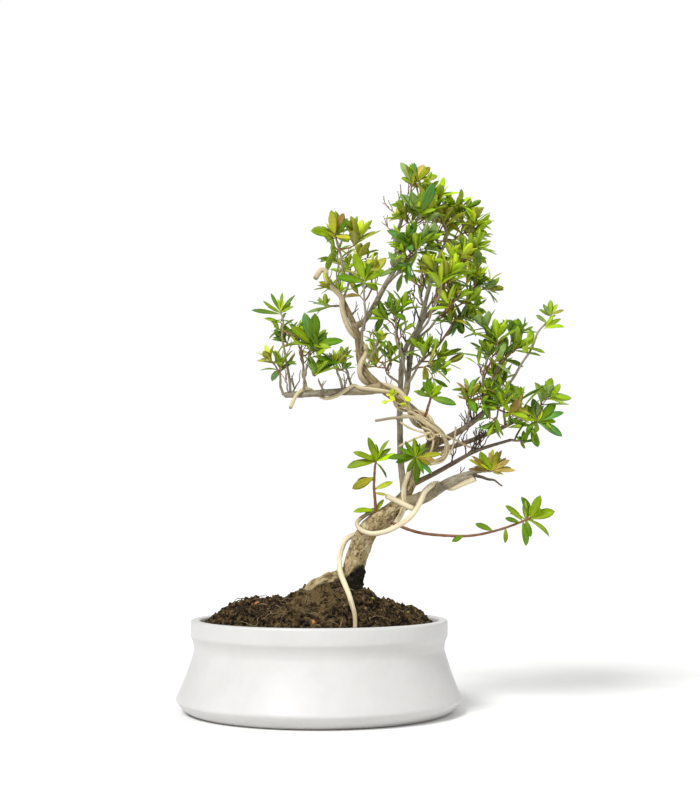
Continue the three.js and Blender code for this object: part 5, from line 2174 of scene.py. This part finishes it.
    def grow_spurs(self) -> None:
        """Grows bare spurs on the boughs, the right bough's stub, and yellow leaflets at the bend."""
        rng = np.random.default_rng(self.seed)
        counts = {
            "left_bough": 5, "leader": 6, "upright_rear": 10, "upright_mid": 8, "upright_left": 8,
            "right_bough": 1, "right_low_branch": 10, "right_high_branch": 13, "right_outer_branch": 8,
        }
        for name, count in counts.items():
            limb = LIMBS[name]
            store = self.pale_spurs if name in self.pale_limbs else self.spurs
            lean = (-0.4, 0.7) if name == "left_bough" else (0.2, 2.6)
            span = (7, 22) if name.startswith("right") else (10, 24)
            for share in rng.uniform(0.3, 1.0, count):
                length = rng.uniform(*span)
                self.bare_spur(store, limb.point(share), limb.direction(share), length, rng, lean)
        stub = (np.array([106.0, -16, 161]), np.array([115.0, -24, 158]), np.array([123.7, -30, 152.7]))
        self.spurs.add(Bend(*stub), 1.3, 0.5)
        host = next(mass for mass in MASSES if mass.name == "centre_mid")
        grown = Growth(replace(host, breadth=1.8), Seeded(self.seed), rng)
        for place in LEAFLETS:
            for tint in (GOLD, YOUNG):
                clock = rng.uniform(-180, 180)
                self.facing_leaf(grown, tint, np.array(place), clock, rng.uniform(4, 7))

    def build(self) -> None:
        """Grows every mass, then makes the twigs by kind and the leaves by tint."""
        for index, mass in enumerate(MASSES):
            self.grow(mass, index)
        self.grow_spurs()
        masses = [f"{mass.name}_foliage" for mass in MASSES]
        grey = GREY_TWIG.material()
        brown = BROWN_TWIG.material()
        kinds = (
            ("foliage_stems", self.stems, (22, 10, 0.02, 5), grey, masses),
            ("foliage_twigs", self.branchlets, (14, 8, 0.03, 6), brown, []),
            ("bare_spurs", self.spurs, (12, 6, 0.03, 9), DARK_TWIG.material(), []),
            ("pale_spurs", self.pale_spurs, (12, 6, 0.03, 10), grey, []),
            ("fine_twigs", self.fine, (9, 6, 0.03, 7), brown, []),
            ("young_shoots", self.shoots, (40, 10, 0.006, 8), RED_SHOOT.material(), []),
        )
        for name, store, form, finish, nodes in kinds:
            store.surface(*form).place(name, finish, Slot.BRANCH, nodes)
        for tint in Tint:
            if tint in self.leaves.rows:
                name = f"leaves_{tint.name.lower()}"
                finish = LeafFinish(tint).material()
                self.leaves.surface(tint).place(name, finish, Slot.LEAF, sorted(self.leaves.nodes[tint]))


@dataclass
class Studio:
    """A pale floor, soft light from the upper left, and a camera at the photograph's angle."""

    camera_place: Point = (0.021, -0.9, 0.125)
    camera_aim: Point = (0.021, 0.0, 0.214)
    lens: float = 57.87
    floor_radius: float = 14000.0
    floor_depth: float = 20.0
    sky: float = 0.5
    sun: float = 2.7

    def build_floor(self) -> None:
        """Lays a round floor as rings that widen from the middle, on which the bowl stands."""
        radius = np.concatenate([[50], np.geomspace(200, self.floor_radius, 24)])[:, None]
        top = polar(radius, ring_angles(96), 0.0)
        under = top - self.floor_depth * UPWARD
        floor = one_skin(np.concatenate([under, top[::-1]]), {}).made("floor", FLOOR.material(), False)

    def build_light(self) -> None:
        """Sets a white sky that the camera sees brighter than the object does, and three soft suns."""
        world = bpy.data.worlds.new("studio")
        bpy.context.scene.world = world
        world.use_nodes = True
        nodes = Nodes(world.node_tree)
        seen = nodes.add("ShaderNodeLightPath").outputs["Is Camera Ray"]
        strength = nodes.math("MULTIPLY_ADD", seen, 1.02 - self.sky, self.sky)
        sky = nodes.add("ShaderNodeBackground", Color=(1.0, 1.0, 1.0, 1.0), Strength=strength)
        nodes.add("ShaderNodeOutputWorld", Surface=sky.outputs[0])
        lights = (
            ("key", self.sun, 22.0, (-0.5, -0.75, 0.95)), ("fill", 0.45, 60.0, (0.9, -0.5, 0.6)),
            ("rim", 0.5, 40.0, (0.2, 0.9, 0.8)),
        )
        for name, strength, spread, place in lights:
            light = bpy.data.lights.new(name, "SUN")
            light.energy = strength
            light.angle = math.radians(spread)
            lamp = bpy.data.objects.new(name, light)
            lamp.rotation_mode = "QUATERNION"
            lamp.rotation_quaternion = (-Vector(place)).to_track_quat("-Z", "Y")
            bpy.context.scene.collection.objects.link(lamp)

    def build_camera(self) -> None:
        """Puts the camera where the photograph's was, low in front of the bowl and looking a little up."""
        camera = bpy.data.cameras.new("camera")
        camera.lens = self.lens
        camera.clip_start = 0.01
        holder = bpy.data.objects.new("camera", camera)
        holder.location = self.camera_place
        holder.rotation_mode = "QUATERNION"
        aim = Vector(self.camera_aim) - Vector(self.camera_place)
        holder.rotation_quaternion = aim.to_track_quat("-Z", "Y")
        bpy.context.scene.collection.objects.link(holder)
        bpy.context.scene.camera = holder

    def build(self) -> None:
        """Sets floor, light and camera."""
        bpy.context.scene.view_settings.view_transform = "Standard"
        self.build_floor()
        self.build_light()
        self.build_camera()


def main() -> None:
    """Builds the studio, then each part of the bonsai."""
    logging.basicConfig(level=logging.INFO, format="%(name)s %(message)s")
    Studio().build()
    Bowl().build()
    SoilBed().build()
    Wood().build()
    TrainingWire().build()
    Foliage().build()


if __name__ == "__main__":
    main()
